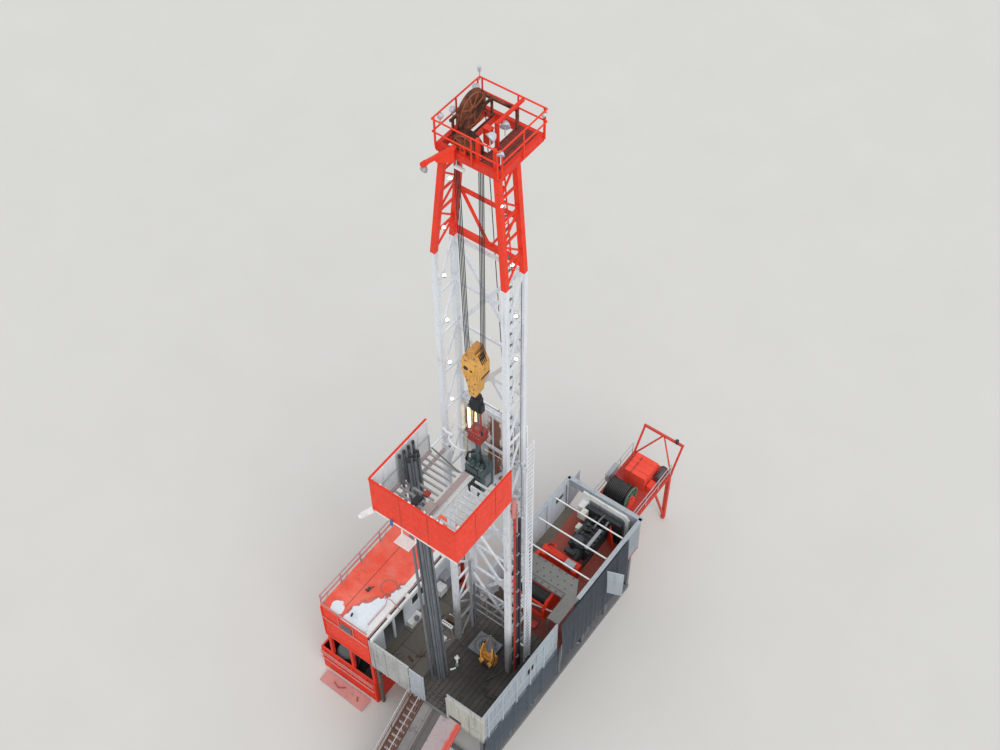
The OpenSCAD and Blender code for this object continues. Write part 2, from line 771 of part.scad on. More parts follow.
/* Standpipe and ladder */
function mast_bay(i) = floor_z - leg_w + (joint_z - floor_z + 2 * leg_w) * i / 9;
module standpipe() {
    x = mast_x + mast_half + leg_w / 2 + 90;
    y = -800;
    color([0.35, 0.1, 0.1]) at_rig() {
        rod([x, y, floor_z], [x, y, mast_bay(7) + 1600], 120, 16);
        for (i = [1, 3, 5, 7]) {
            z = mast_bay(i);
            block([mast_x + mast_half + brace_w / 2, y - 40, z - 40], [x, y + 40, z + 40]);
        }
    }
}
ladder_x = mast_x + mast_half + leg_w / 2 + 230;
ladder_y = -110;
ladder_w = 450;
module mast_ladder() {
    y = ladder_y;
    w = ladder_w / 2;
    color(white) at_rig() translate([ladder_x, y, 0]) {
        for (s = [-1, 1]) block([-30, s * w - 30, floor_z], [30, s * w + 30, board_z + 1700]);
        for (z = [floor_z + 300 : 300 : board_z + 1600]) block([-15, -w, z], [15, w, z + 30]);
    }
    color(white) at_rig() for (i = [1, 3, 5, 7]) {
        z = mast_bay(i);
        block([mast_x + mast_half + brace_w / 2, ladder_y - ladder_w / 2 - 30, z - 30],
            [ladder_x + 1, ladder_y - ladder_w / 2 + 30, z + 30]);
    }
}

/* Doghouse */
module doghouse_base() {
    color(red) at_rig() {
        difference() {
            block([skid_left, dog_front, 0], [dog_right, dog_back, skid_h]);
            block([skid_left + 80, dog_front + 80, 200], [dog_right - 80, dog_back - 80, skid_h + 1]);
        }
        for (x = [dog_left + 100, (dog_left + dog_right) / 2, dog_right - 100])
            for (y = [dog_front + 120, (dog_front + dog_back) / 2, dog_back - 120])
                block([x - 80, y - 80, 190], [x + 80, y + 80, under_floor]);
    }
}
module doghouse_floor() {
    color(steel) at_rig() block([dog_left, dog_front, under_floor], [dog_right, dog_back, floor_z]);
}
dog_top = floor_z + dog_h;
module doghouse_shell() {
    color(red) at_rig() difference() {
        block([dog_left, dog_front, floor_z], [dog_right, dog_back, dog_top]);
        block([dog_left + dog_t, dog_front + dog_t, floor_z - 1],
            [dog_right + 1, dog_back - dog_t, dog_top + 1]);
    }
}
dog_door_y = [dog_front + 1080, dog_front + 1200 + dog_door_w];
dog_win_y = dog_front + 3250;
dog_win_z = floor_z + 1260;
dog_win_w = 800;
dog_win_h = 530;
module doghouse_right() {
    x2 = dog_right;
    x1 = x2 - dog_t;
    color(white) at_rig() difference() {
        block([x1, dog_front + dog_t, floor_z], [x2, dog_back - dog_t, dog_top]);
        for (y = dog_door_y)
            block([x1 - 1, y, floor_z - 1], [x2 + 1, y + dog_door_w, floor_z + dog_door_h]);
        block([x1 - 1, dog_win_y, dog_win_z], [x2 + 1, dog_win_y + dog_win_w, dog_win_z + dog_win_h]);
    }
}
module doghouse_roof() {
    x1 = dog_left;
    x2 = dog_right;
    color(red) at_rig() {
        block([x1, dog_front, dog_top], [x2, dog_back, dog_top + 90]);
        for (y = [dog_front + 40 : 1460 : dog_back - 20])
            rod([x1 + 40, y, dog_top + 50], [x1 + 40, y, dog_top + 90 + 900], 50);
        for (z = [500, 900]) rod([x1 + 40, dog_front + 20, dog_top + 65 + z],
            [x1 + 40, dog_back - 20, dog_top + 65 + z], 50);
    }
}

/* Windwalls and V-door */
gate_x = stair_left - 60;
gate_y = floor_front - wind_t / 2;
wall_low = floor_z - 100;
ramp_right = vdoor_right + 700;
module windwall_left() {
    color(panel_grey) at_rig()
        block([dog_right, floor_front - wind_t, wall_low], [gate_x - 40, floor_front, wall_top]);
    color(panel_grey) at_rig() translate([gate_x, gate_y, sill]) rotate([0, 0, -90]) brackets(60);
}
port_y = -1060;
port_w = 420;
port_z = floor_z + 1350;
module windwall_right() {
    x = floor_right;
    color(panel_grey) at_rig() {
        // The front part is cut back above the ramp
        translate([0, floor_front, 0]) rotate([90, 0, 0]) linear_extrude(wind_t) polygon([
            [vdoor_right, floor_z + 500], [ramp_right + 40, floor_z + 500], [ramp_right + 40, wall_low],
            [x + wind_t, wall_low], [x + wind_t, wall_top], [vdoor_right, wall_top]]);
        difference() {
            block([x, floor_front - 1, wall_low], [x + wind_t, floor_back, wall_top]);
            block([x - 1, port_y - port_w / 2, port_z - port_w / 2],
                [x + wind_t + 1, port_y + port_w / 2, port_z + port_w / 2]);
        }
        // Jamb of the V-door, from the floor's front face to the panel
        block([vdoor_right - 90, floor_front - wind_t - 20, sill],
            [vdoor_right + 1, floor_front - 1, wall_top - 400]);
    }
}
module vdoor_gate() {
    w = vdoor_left - gate_x - leaf_start - 15;
    h = wind_h - 60;
    frame = 70;
    color(panel_grey) at_rig() translate([gate_x, gate_y, sill]) rotate([0, 0, -90])
        difference() {
            leaf(w, h);
            // Shallow panels inside the frame, on each side of its slanting brace
            for (x = [-door_t / 2 - 1, door_t / 2 - 14]) translate([x, leaf_start, 0]) rotate([90, 0, 90])
                linear_extrude(15) {
                    polygon([[frame, frame], [w - frame, frame], [frame, h * 0.45]]);
                    polygon([[w - frame, frame * 2.2], [w - frame, h * 0.5], [frame, h * 0.5]]);
                    translate([frame, h * 0.5 + frame]) square([w - 2 * frame, h * 0.5 - 2 * frame]);
                }
        }
}
ramp_top_y = floor_front;
ramp_a = atan2(floor_z, ramp_top_y - ramp_foot);
// Ramp: a sloping plate with the trough for pipe and a kerb along its right edge
trough_x = vdoor_left + 440;
trough_w = 310;
module vdoor_ramp() {
    x1 = vdoor_left + 20;
    color(steel) at_rig() {
        difference() {
            translate([x1, 0, 0]) rotate([90, 0, 90]) linear_extrude(ramp_right - x1) polygon([
                [ramp_foot, 0], [ramp_foot + 250, 0], [ramp_top_y, floor_z - 170], [ramp_top_y, floor_z]]);
            translate([trough_x, ramp_foot, 0]) rotate([ramp_a, 0, 0]) translate([0, -200, -trough_d])
                cube([trough_w, 9000, trough_d * 4]);
        }
        translate([ramp_right - 60, 0, 0]) rotate([90, 0, 90]) linear_extrude(59) polygon([
            [ramp_foot + 60, 20], [ramp_top_y - 120, floor_z - 170], [ramp_top_y - 120, floor_z + 60],
            [ramp_foot + 60, 160]]);
    }
}
// Stair beside the ramp: two strings, open treads and double handrails
stair_l = stair_left;
stair_r = vdoor_left - 20;
string_t = 50;
tread_count = 20;
module vdoor_stair() {
    n = tread_count;
    run = ramp_top_y - ramp_foot;
    color([0.35, 0.25, 0.2]) at_rig() {
        for (x = [stair_l, stair_r - string_t]) {
            translate([x, 0, 0]) rotate([90, 0, 90]) linear_extrude(string_t) polygon([
                [ramp_foot, 0], [ramp_foot + 400, 0], [ramp_top_y, floor_z - 260], [ramp_top_y, floor_z]]);
            xm = x + string_t / 2;
            y1 = ramp_foot + 300;
            y2 = ramp_top_y - 260;
            z1 = floor_z * 300 / run;
            z2 = floor_z * (run - 260) / run;
            for (h = [rail_h / 2, rail_h]) rod([xm, y1, z1 + h], [xm, y2, z2 + h], rail_d * 0.8);
            for (i = [0 : 4]) {
                y = y1 + 20 + (y2 - y1 - 40) * i / 4;
                z = z1 + 13 + (z2 - z1 - 26) * i / 4;
                rod([xm, y, z - 60], [xm, y, z + rail_h], rail_d * 0.7);
            }
        }
        for (i = [1 : n]) {
            z = floor_z * i / (n + 1);
            y = ramp_foot + run * i / (n + 1);
            block([stair_l + string_t - 1, y, z - 60], [stair_r - string_t + 1, y + 240, z - 20]);
        }
    }
}

/* Engine house */
eng_top = floor_z + eng_h;
cover_y = floor_back + 1650;
module engine_deck() {
    color(red) at_rig() block([eng_left, floor_back, under_floor], [eng_right, eng_back, floor_z]);
}
module engine_wall_left() {
    color(panel_grey) at_rig()
        block([eng_left, floor_back + 400, floor_z], [eng_left + eng_t, eng_back - eng_t, eng_top]);
}
side_door_y = 5200;
cover_t = 50;
side_hinge_y = side_door_y - 40;
back_door_x = eng_left + 160;
back_hinge_x = back_door_x - 40;
back_hinge_y = eng_back + barrel_d / 2 + 5;
module engine_wall_right() {
    x1 = eng_right - eng_t;
    color(panel_grey) at_rig() difference() {
        block([x1, cover_y, floor_z], [eng_right, eng_back - eng_t, eng_top]);
        block([x1, floor_back, floor_z], [eng_right, cover_y + 1, eng_top - cover_t - 10]);
        block([x1 - 1, side_door_y, floor_z - 1],
            [eng_right + 1, side_door_y + door_w - 40, floor_z + door_h - 40]);
    }
    color(panel_grey) at_rig() translate([side_hinge_x, side_hinge_y, sill]) rotate([0, 0, -90])
        brackets(barrel_d / 2 + 5);
}
module engine_wall_back() {
    color(panel_grey) at_rig() difference() {
        block([eng_left, eng_back - eng_t, floor_z], [eng_right, eng_back, eng_top]);
        block([back_door_x, eng_back - eng_t - 1, floor_z - 1],
            [back_door_x + door_w - 40, eng_back + 1, floor_z + door_h - 40]);
    }
    color(panel_grey) at_rig() translate([back_hinge_x, back_hinge_y, sill]) brackets(barrel_d / 2 + 5);
}
tie_pitch = 1450;
arch_y = eng_back - 260;
arch_t = 120;
arch_in = [-300, 1900];
arch_out = [-690, 2100];
arch_z = eng_top - 500;
// Tie bars between the walls, and the arch around the radiator
module house_frame() {
    color(white) at_rig() {
        for (i = [1 : 3]) {
            y = eng_back - i * tie_pitch;
            block([eng_left + eng_t, y, eng_top - 120], [eng_right - eng_t, y + 60, eng_top - 60]);
        }
        translate([0, arch_y + arch_t, 0]) rotate([90, 0, 0]) linear_extrude(arch_t) difference() {
            polygon([[arch_out[0], floor_z], [arch_out[1], floor_z], [arch_out[1], eng_top - 420],
                [arch_out[1] - 220, eng_top - 180], [arch_out[0], eng_top - 180]]);
            polygon([[arch_in[0], floor_z - 1], [arch_in[1], floor_z - 1], [arch_in[1], arch_z - 150],
                [arch_in[1] - 150, arch_z], [arch_in[0], arch_z]]);
        }
        for (z = [500, 1150]) block([arch_out[0], arch_y - 420, floor_z + z],
            [arch_in[0] - 30, arch_y + 1, floor_z + z + 480]);
    }
}
engine_x = 560;
engine_y = 6850;
module engine() {
    color(black) at_rig() translate([engine_x, engine_y, floor_z]) {
        for (s = [-1, 1]) translate([s * 480 - 70, -1450, 0]) cube([140, 2600, 200]);
        for (y = [-1400, -200, 950]) translate([-500, y, 60]) cube([1000, 160, 120]);
        // Crankcase with its sump, and the two banks of cylinders in a V
        translate([0, 900, 0]) rotate([90, 0, 0]) linear_extrude(1800) polygon([
            [-420, 180], [420, 180], [460, 560], [620, 980], [380, 1120], [200, 800], [-200, 800],
            [-380, 1120], [-620, 980], [-460, 560]]);
        for (s = [-1, 1]) rod([s * 500, -700, 1130], [s * 500, 700, 1130], 190, 16);
        translate([-250, -850, 790]) cube([500, 1500, 260]);
        translate([-160, 250, 1000]) cylinder(h = 330, d = 420, $fn = 32);
        // Torque converter towards the drawworks
        rod([0, -900, 620], [0, -890, 620], 900, 24);
        rod([0, -1490, 620], [0, -880, 620], 640, 24);
        // Radiator and fan under the arch
        translate([arch_in[0] - engine_x + 60, 950, 120]) cube([arch_in[1] - arch_in[0] - 120, 200, 1650]);
        rod([0, 860, 900], [0, 960, 900], 1100, 24);
    }
}
chain_y = drum_y + 2200;
module drawworks() {
    x1 = -1000;
    x2 = 1200;
    color(red) at_rig() {
        for (x = [x1, x2 - 160]) difference() {
            translate([x, 0, 0]) rotate([90, 0, 90]) linear_extrude(160) polygon([
                [drum_y - 720, floor_z], [drum_y + 700, floor_z], [drum_y + 700, floor_z + 900],
                [drum_y + 350, floor_z + 1250], [drum_y - 350, floor_z + 1250],
                [drum_y - 720, floor_z + 800]]);
            translate([x - 1, drum_y, drum_z]) rotate([0, 90, 0])
                cylinder(h = 162, d = shaft_hole, $fn = 32);
        }
        block([x1 + 1, drum_y + 560, floor_z], [x2 - 1, drum_y + 690, floor_z + 300]);
        block([x1 + 1, drum_y - 690, floor_z], [x2 - 1, drum_y - 560, floor_z + 140]);
        // Chain case across the skid, with the shaft's bearing blocks
        block([x1, chain_y, floor_z], [x2, chain_y + 350, floor_z + 820]);
        for (x = [x1, x2 - 300])
            block([x, chain_y - 220, floor_z + 200], [x + 300, chain_y + 1, floor_z + 700]);
        for (x = [x1 + 100, x2 - 300])
            block([x, drum_y + 689, floor_z], [x + 200, chain_y + 1, floor_z + 200]);
    }
}
module drum() {
    x1 = -1000;
    x2 = 1200;
    color(black) at_rig() translate([x1, drum_y, drum_z]) rotate([0, 90, 0]) {
        cylinder(h = x2 - x1, d = shaft_d, $fn = 32);
        translate([0, 0, 200]) cylinder(h = x2 - x1 - 400, d = drum_d, $fn = 48);
        for (z = [200, x2 - x1 - 260]) translate([0, 0, z]) cylinder(h = 60, d = drum_d + 300, $fn = 48);
    }
}
// Roof over the drawworks: a flat plate behind the beam, and a side cover that curves down outside
plate_x = 2020;
plate_y = cover_y + 900;
module drawworks_roof() {
    z = eng_top - cover_t;
    x1 = eng_left + eng_t;
    color(panel_grey) at_rig() {
        block([x1, cover_y - 80, z], [plate_x + 1, plate_y, eng_top]);
        block([x1, cover_y - 330, z - 110], [plate_x + 1, cover_y - 79, z + 1]);
        translate([0, 0, z]) linear_extrude(cover_t) polygon([
            [plate_x, floor_back], [eng_right, floor_back], [eng_right, cover_y - 1],
            [eng_right - eng_t - 1, cover_y - 1], [plate_x, plate_y + 100]]);
        block([plate_x, floor_back, z - 110], [plate_x + 60, plate_y, z + 1]);
        for (y = [floor_back + 10, plate_y - 90]) block([plate_x, y, floor_z], [plate_x + 60, y + 60, z]);
    }
}
module left_door() {
    color(panel_grey) at_rig() translate([back_hinge_x, back_hinge_y, sill])
        rotate([0, 0, 5]) leaf(door_w, door_h);
}
module side_door() {
    color(panel_grey) at_rig() translate([side_hinge_x, side_hinge_y, sill])
        rotate([0, 0, -door_open]) leaf(door_w, door_h);
}

/* Tail skid */
deck_back = tail_back - 900;
frame_h = 1500;
module tail_skid() {
    y1 = eng_back;
    color(red) at_rig() {
        block([tail_left, y1, under_floor], [tail_right, deck_back, floor_z]);
        for (x = [tail_left + 100, tail_right - 100]) for (s = [-1, 1]) {
            y = s > 0 ? y1 + 300 : deck_back - 200;
            block([x - 100, y - 100, 0], [x + 100, y + 100, under_floor + 1]);
            bar([x, y, 200], [x, y + s * 1400, under_floor + 20], 100, 100);
        }
        for (x = [tail_left + 30, tail_right - 30]) {
            for (z = [500, 1000]) rod([x, y1 + 1000, floor_z + z], [x, deck_back - 200, floor_z + z], 50);
            for (i = [0 : 3]) {
                y = y1 + 1030 + (deck_back - y1 - 1260) * i / 3;
                rod([x, y, floor_z - 10], [x, y, floor_z + 992], 42);
            }
        }
        // Frame that leans back over the end of the skid
        foot = [0, deck_back - 80, floor_z - 60];
        head = [0, tail_back - 60, floor_z + frame_h - 60];
        xm = (tail_left + tail_right) / 2;
        for (x = [tail_left + 60, tail_right - 60]) {
            bar(foot + [x, 0, 0], head + [x, 0, 0], 100, 100);
            bar(foot + [x + (xm - x) * 0.03, 12, 0], head + [xm + (x - xm) * 0.01, 4, -8], 70, 70);
        }
        block([tail_left + 2, tail_back - 130, floor_z + frame_h - 110],
            [tail_right - 2, tail_back, floor_z + frame_h]);
    }
}
reel_y = eng_back + 1800;
reel_z = floor_z + reel_d / 2 + 80;
reel_x = tail_left + 420;
reel_l = 1300;
stand_t = 80;
module reel() {
    color(black) at_rig() translate([reel_x, reel_y, reel_z]) rotate([0, 90, 0]) {
        for (z = [0, reel_l - 60]) translate([0, 0, z]) cylinder(h = 60, d = reel_d, $fn = 48);
        cylinder(h = reel_l, d = reel_d * 0.75, $fn = 48);
        translate([0, 0, -stand_t - 30]) cylinder(h = reel_l + 2 * stand_t + 60, d = shaft_d, $fn = 32);
    }
}
chest_y = reel_y + 1150;
chest_h = 1100;
module tail_machines() {
    color(red) at_rig() {
        for (x = [reel_x - stand_t - 20, reel_x + reel_l + 20]) difference() {
            translate([x, 0, 0]) rotate([90, 0, 90]) linear_extrude(stand_t) polygon([
                [reel_y - 450, floor_z], [reel_y + 450, floor_z], [reel_y + 130, reel_z + 130],
                [reel_y - 130, reel_z + 130]]);
            translate([x - 1, reel_y, reel_z]) rotate([0, 90, 0])
                cylinder(h = stand_t + 2, d = shaft_hole, $fn = 32);
        }
        // Chest with four lids
        block([tail_left + 610, chest_y, floor_z],
            [tail_left + 1850, chest_y + 1320, floor_z + chest_h - 30]);
        for (i = [0 : 3]) block([tail_left + 600, chest_y + 10 + i * 328, floor_z + chest_h - 31],
            [tail_left + 1860, chest_y + 318 + i * 328, floor_z + chest_h]);
        block([tail_right - 560, chest_y + 100, floor_z], [tail_right - 260, chest_y + 600, floor_z + 500]);
        // Winch drum along the right side
        translate([tail_right - 350, chest_y + 850, floor_z + 420]) rotate([-90, 0, 0]) {
            cylinder(h = 800, d = 360, $fn = 32);
            for (z = [0, 770]) translate([0, 0, z]) cylinder(h = 30, d = 440, $fn = 32);
        }
        for (y = [900, 1540])
            block([tail_right - 440, chest_y + y, floor_z],
                [tail_right - 200, chest_y + y + 60, floor_z + 400]);
    }
}

substructure_left();
substructure_right();
substructure_cross();
drill_floor();
side_deck();
rotary_table();
roughneck();
mast_left();
mast_right();
mast_back();
upper_left();
upper_right();
upper_back();
top_left();
top_right();
top_back();
crown_frame();
crown_rails();
crown_sheaves();
fast_stand();
fast_sheave();
racking_board();
fingers();
board_wall_left();
board_wall_right();
board_wall_front();
mast_windwall();
racked_pipe();
travelling_block();
block_sheaves();
hook();
top_drive();
drilling_lines();
fast_line();
standpipe();
mast_ladder();
doghouse_base();
doghouse_floor();
doghouse_shell();
doghouse_right();
doghouse_roof();
windwall_left();
windwall_right();
vdoor_gate();
vdoor_ramp();
vdoor_stair();
engine_deck();
engine_wall_left();
engine_wall_right();
engine_wall_back();
house_frame();
engine();
drawworks();
drum();
drawworks_roof();
left_door();
side_door();
tail_skid();
reel();
tail_machines();
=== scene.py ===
import math

import bpy
import numpy as np
from mathutils import Matrix, Vector


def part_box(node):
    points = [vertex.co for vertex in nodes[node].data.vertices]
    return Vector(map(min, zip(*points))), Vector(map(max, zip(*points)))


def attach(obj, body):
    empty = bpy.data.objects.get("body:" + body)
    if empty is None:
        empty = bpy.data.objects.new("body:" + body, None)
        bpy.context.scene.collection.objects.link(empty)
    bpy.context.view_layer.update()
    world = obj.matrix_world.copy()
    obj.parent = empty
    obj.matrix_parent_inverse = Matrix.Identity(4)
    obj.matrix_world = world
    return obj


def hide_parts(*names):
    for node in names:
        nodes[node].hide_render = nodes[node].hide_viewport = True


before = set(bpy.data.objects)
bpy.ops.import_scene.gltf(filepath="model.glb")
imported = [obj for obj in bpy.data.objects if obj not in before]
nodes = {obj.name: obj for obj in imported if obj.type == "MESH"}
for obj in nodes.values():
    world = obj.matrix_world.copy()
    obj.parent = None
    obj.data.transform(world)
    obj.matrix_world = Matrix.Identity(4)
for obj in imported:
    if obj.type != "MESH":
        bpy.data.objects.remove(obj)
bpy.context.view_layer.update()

# Places below are in metres from the crown's centre line, as in the source; SHIFT brings them
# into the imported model's frame.
SHIFT = Vector((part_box("drill_floor")[0].x + 1.70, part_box("drill_floor")[0].y + 4.75, 0.0))

# Camera: place, direction in degrees and lens in millimetres, solved from the photo's straight edges
CAMERA_PLACE = Vector((19.693, -25.728, 65.791))
AZIMUTH, ELEVATION, ROLL = 37.05, 51.61, -0.73
LENS, SENSOR = 50.265, 36.0
FAR_CLIP = 600.0


def rolled_camera(place, azimuth, elevation, roll):
    a, e, r = (math.radians(v) for v in (azimuth, elevation, roll))
    right = Vector((math.cos(a), math.sin(a), 0))
    back = Vector((math.sin(a) * math.cos(e), -math.cos(a) * math.cos(e), math.sin(e)))
    up = back.cross(right)
    x = right * math.cos(r) + up * math.sin(r)
    y = up * math.cos(r) - right * math.sin(r)
    rows = [[x[i], y[i], back[i], place[i]] for i in range(3)] + [[0, 0, 0, 1]]
    return Matrix(rows)


def link(name, data):
    obj = bpy.data.objects.new(name, data)
    bpy.context.scene.collection.objects.link(obj)
    return obj


cam_data = bpy.data.cameras.new("photo_camera")
cam_data.sensor_fit = "HORIZONTAL"
cam_data.sensor_width = SENSOR
cam_data.lens = LENS
cam_data.clip_end = FAR_CLIP
camera = link("photo_camera", cam_data)
camera.matrix_world = rolled_camera(CAMERA_PLACE + SHIFT, AZIMUTH, ELEVATION, ROLL)
bpy.context.scene.camera = camera


# Materials
def lin(rgb):
    def one(c):
        c /= 255.0
        return c / 12.92 if c <= 0.04045 else ((c + 0.055) / 1.055) ** 2.4
    return tuple(one(c) for c in rgb) + (1.0,)


def tint(rgb, k):
    return lin(tuple(min(255, max(0, c * k)) for c in rgb))


class Shader:
    """A small builder for procedural materials in the object's own metres."""

    def __init__(self, name, rough=0.6, metal=0.0):
        self.mat = bpy.data.materials.new(name)
        self.mat.use_nodes = True
        self.tree = self.mat.node_tree
        self.tree.nodes.clear()
        out = self.node("ShaderNodeOutputMaterial")
        self.bsdf = self.node("ShaderNodeBsdfPrincipled")
        self.bsdf.inputs["Roughness"].default_value = rough
        self.bsdf.inputs["Metallic"].default_value = metal
        self.bsdf.inputs["Specular IOR Level"].default_value = 0.3
        self.link(self.bsdf.outputs[0], out.inputs[0])
        coords = self.node("ShaderNodeTexCoord").outputs["Object"]
        self.at = self.vector("SUBTRACT", coords, SHIFT).outputs[0]
        self.x, self.y, self.z = self.split(self.at)
        self.place = {"x": self.x, "y": self.y, "z": self.z}
        normal = self.node("ShaderNodeNewGeometry").outputs["True Normal"]
        self.normal = dict(zip("xyz", self.split(normal)))

    def node(self, kind):
        return self.tree.nodes.new(kind)

    def link(self, a, b):
        self.tree.links.new(a, b)

    def feed(self, value, socket):
        if isinstance(value, bpy.types.NodeSocket):
            self.link(value, socket)
        else:
            socket.default_value = value

    def split(self, vector):
        n = self.node("ShaderNodeSeparateXYZ")
        self.link(vector, n.inputs[0])
        return n.outputs

    def vector(self, op, a, b):
        n = self.node("ShaderNodeVectorMath")
        n.operation = op
        self.link(a, n.inputs[0])
        n.inputs[1].default_value = b
        return n

    def distance(self, point):
        return self.vector("DISTANCE", self.at, point).outputs["Value"]

    def math(self, op, a, b=0.0):
        n = self.node("ShaderNodeMath")
        n.operation = op
        self.feed(a, n.inputs[0])
        self.feed(b, n.inputs[1])
        return n.outputs[0]

    def mul(self, a, b):
        return self.math("MULTIPLY", a, b)

    def add(self, a, b):
        return self.math("ADD", a, b)

    def sub(self, a, b):
        return self.math("SUBTRACT", a, b)

    def size(self, a):
        return self.math("ABSOLUTE", a)

    def step(self, value, lo, hi, to_lo=0.0, to_hi=1.0):
        n = self.node("ShaderNodeMapRange")
        n.interpolation_type = "SMOOTHSTEP"
        self.feed(value, n.inputs["Value"])
        for socket, number in zip(("From Min", "From Max", "To Min", "To Max"), (lo, hi, to_lo, to_hi)):
            n.inputs[socket].default_value = number
        return n.outputs["Result"]

    def fall(self, value, lo, hi):
        return self.step(value, lo, hi, 1.0, 0.0)

    def noise(self, scale, detail=5.0, rough=0.6, stretch=(1, 1, 1), offset=0.0):
        m = self.node("ShaderNodeMapping")
        m.inputs["Scale"].default_value = stretch
        m.inputs["Location"].default_value = (offset, offset * 0.7, -offset)
        self.link(self.at, m.inputs["Vector"])
        n = self.node("ShaderNodeTexNoise")
        n.inputs["Scale"].default_value = scale
        n.inputs["Detail"].default_value = detail
        n.inputs["Roughness"].default_value = rough
        self.link(m.outputs[0], n.inputs["Vector"])
        return n.outputs["Fac"]

    def mix(self, fac, a, b):
        n = self.node("ShaderNodeMix")
        n.data_type = "RGBA"
        self.feed(fac, n.inputs["Factor"])
        self.feed(a, n.inputs["A"])
        self.feed(b, n.inputs["B"])
        return n.outputs["Result"]

    def shades(self, fac, rgb, low, high):
        """One colour from a darker to a lighter shade of it."""
        return self.mix(fac, tint(rgb, low), tint(rgb, high))

    def blend(self, fac, a, b):
        return self.mix(fac, lin(a), lin(b))

    def over(self, mask, col, rgb):
        return self.mix(mask, col, lin(rgb))

    def boards(self, u, v, width, length, gap=0.012, offset=0.5):
        """Edges and per-board tones of a boarding: u runs along the boards, v across them."""
        c = self.node("ShaderNodeCombineXYZ")
        self.link(u, c.inputs[0])
        self.link(v, c.inputs[1])
        n = self.node("ShaderNodeTexBrick")
        n.offset = offset
        settings = {"Scale": 1.0, "Brick Width": length, "Row Height": width, "Mortar Size": gap,
                    "Mortar Smooth": 0.1, "Color1": (0.2, 0.2, 0.2, 1),
                    "Color2": (0.8, 0.8, 0.8, 1), "Mortar": (0, 0, 0, 1)}
        for socket, value in settings.items():
            n.inputs[socket].default_value = value
        self.link(c.outputs[0], n.inputs["Vector"])
        return n.outputs["Fac"], n.outputs["Color"]

    def bump(self, height, strength=0.3, distance=0.004):
        n = self.node("ShaderNodeBump")
        n.inputs["Strength"].default_value = strength
        n.inputs["Distance"].default_value = distance
        self.link(height, n.inputs["Height"])
        self.link(n.outputs[0], self.bsdf.inputs["Normal"])


GRIME = (62, 57, 54)
RUST = (112, 62, 38)
DUST = (176, 170, 164)
ORANGE = (236, 55, 24)
ORANGE_2 = (228, 50, 26)
CROWN_RED = (224, 50, 28)
WHITE = (222, 226, 232)
BLOCK_RUST = (122, 78, 44)
BLOCK_GRIME = (74, 52, 36)


def worn(s, rgb, shade=0.13, grime=0.35, rust=0.25, streaks=0.3, dust=0.15, rust_rgb=RUST,
         grime_rgb=GRIME, scale=1.0, dust_rgb=DUST, base=None):
    """Paint with slow tone changes, running dirt, grime, rust spots and dust on top faces."""
    tone = s.noise(0.55 * scale, 4)
    col = s.shades(tone, rgb, 1 - shade, 1 + shade * 0.6) if base is None else base
    fine = s.noise(14 * scale, 6, 0.7, offset=3)
    col = s.over(s.step(fine, 0.35, 0.75, 0.0, 0.16), col, grime_rgb)
    if streaks:
        run = s.noise(2.6 * scale, 6, 0.65, (3.0, 3.0, 0.16), 5)
        col = s.over(s.step(run, 0.52, 0.72, 0.0, streaks), col, grime_rgb)
    if grime:
        spot = s.noise(2.1 * scale, 9, 0.72, offset=9)
        col = s.over(s.step(spot, 0.54, 0.70, 0.0, grime), col, grime_rgb)
    if rust:
        patch = s.noise(3.3 * scale, 10, 0.75, (1.0, 1.0, 0.55), 14)
        col = s.over(s.step(patch, 0.60, 0.66, 0.0, rust), col, rust_rgb)
    if dust:
        up = s.step(s.normal["z"], 0.55, 0.95, 0.0, dust)
        col = s.over(s.mul(up, s.step(tone, 0.3, 0.7, 0.5, 1.0)), col, dust_rgb)
    s.bump(fine, 0.22, 0.003)
    return col


def done(s, col, rough=None):
    s.feed(col, s.bsdf.inputs["Base Color"])
    if rough:
        r = s.noise(5.0, 4, offset=2.0)
        s.link(s.step(r, 0.3, 0.7, rough[0], rough[1]), s.bsdf.inputs["Roughness"])
    return s.mat


def paint(name, rgb, rough=(0.42, 0.68), metal=0.0, **kw):
    s = Shader(name, metal=metal)
    return done(s, worn(s, rgb, **kw), rough)


def sooty_foot(name, rgb, top, **kw):
    """Paint that grows dark and oily towards the floor."""
    s = Shader(name)
    col = worn(s, rgb, **kw)
    height = s.add(s.z, s.mul(s.noise(1.6, 7, 0.7, (2, 2, 0.5), 8.0), -3.2))
    return done(s, s.over(s.step(height, top - 2.4, top, 0.72, 0.0), col, (70, 66, 64)), (0.42, 0.7))


def glow(name, rgb, strength):
    s = Shader(name, 0.3)
    col = s.shades(s.step(s.noise(60, 2), 0.3, 0.7), rgb, 0.9, 1.0)
    s.feed(col, s.bsdf.inputs["Emission Color"])
    s.bsdf.inputs["Emission Strength"].default_value = strength
    return done(s, col)


def board_wall(name, axis, sign):
    """Orange, and white on the face that looks along sign * axis."""
    s = Shader(name)
    inside = s.step(s.mul(s.normal[axis], float(sign)), 0.4, 0.6)
    t = s.noise(0.6, 4)
    base = s.mix(inside, s.shades(t, ORANGE, 0.93, 1.05), s.shades(t, (236, 238, 241), 0.86, 1.03))
    return done(s, worn(s, ORANGE, base=base, grime=0.12, rust=0.1, streaks=0.12, dust=0.0), (0.4, 0.62))


def sheeted(name, rgb, axis, width, height, seam_rgb=(90, 88, 86), **kw):
    """Plywood or steel sheeting on an upright wall, with seams and slightly different sheets."""
    s = Shader(name)
    edge, tone = s.boards(s.place[axis], s.add(s.z, 0.05), height, width, 0.008, 0.0)
    base = s.shades(s.mix(0.5, tone, s.noise(0.8, 4, offset=1.0)), rgb, 0.84, 1.08)
    return done(s, s.over(s.mul(edge, 0.45), worn(s, rgb, base=base, **kw), seam_rgb), (0.5, 0.75))


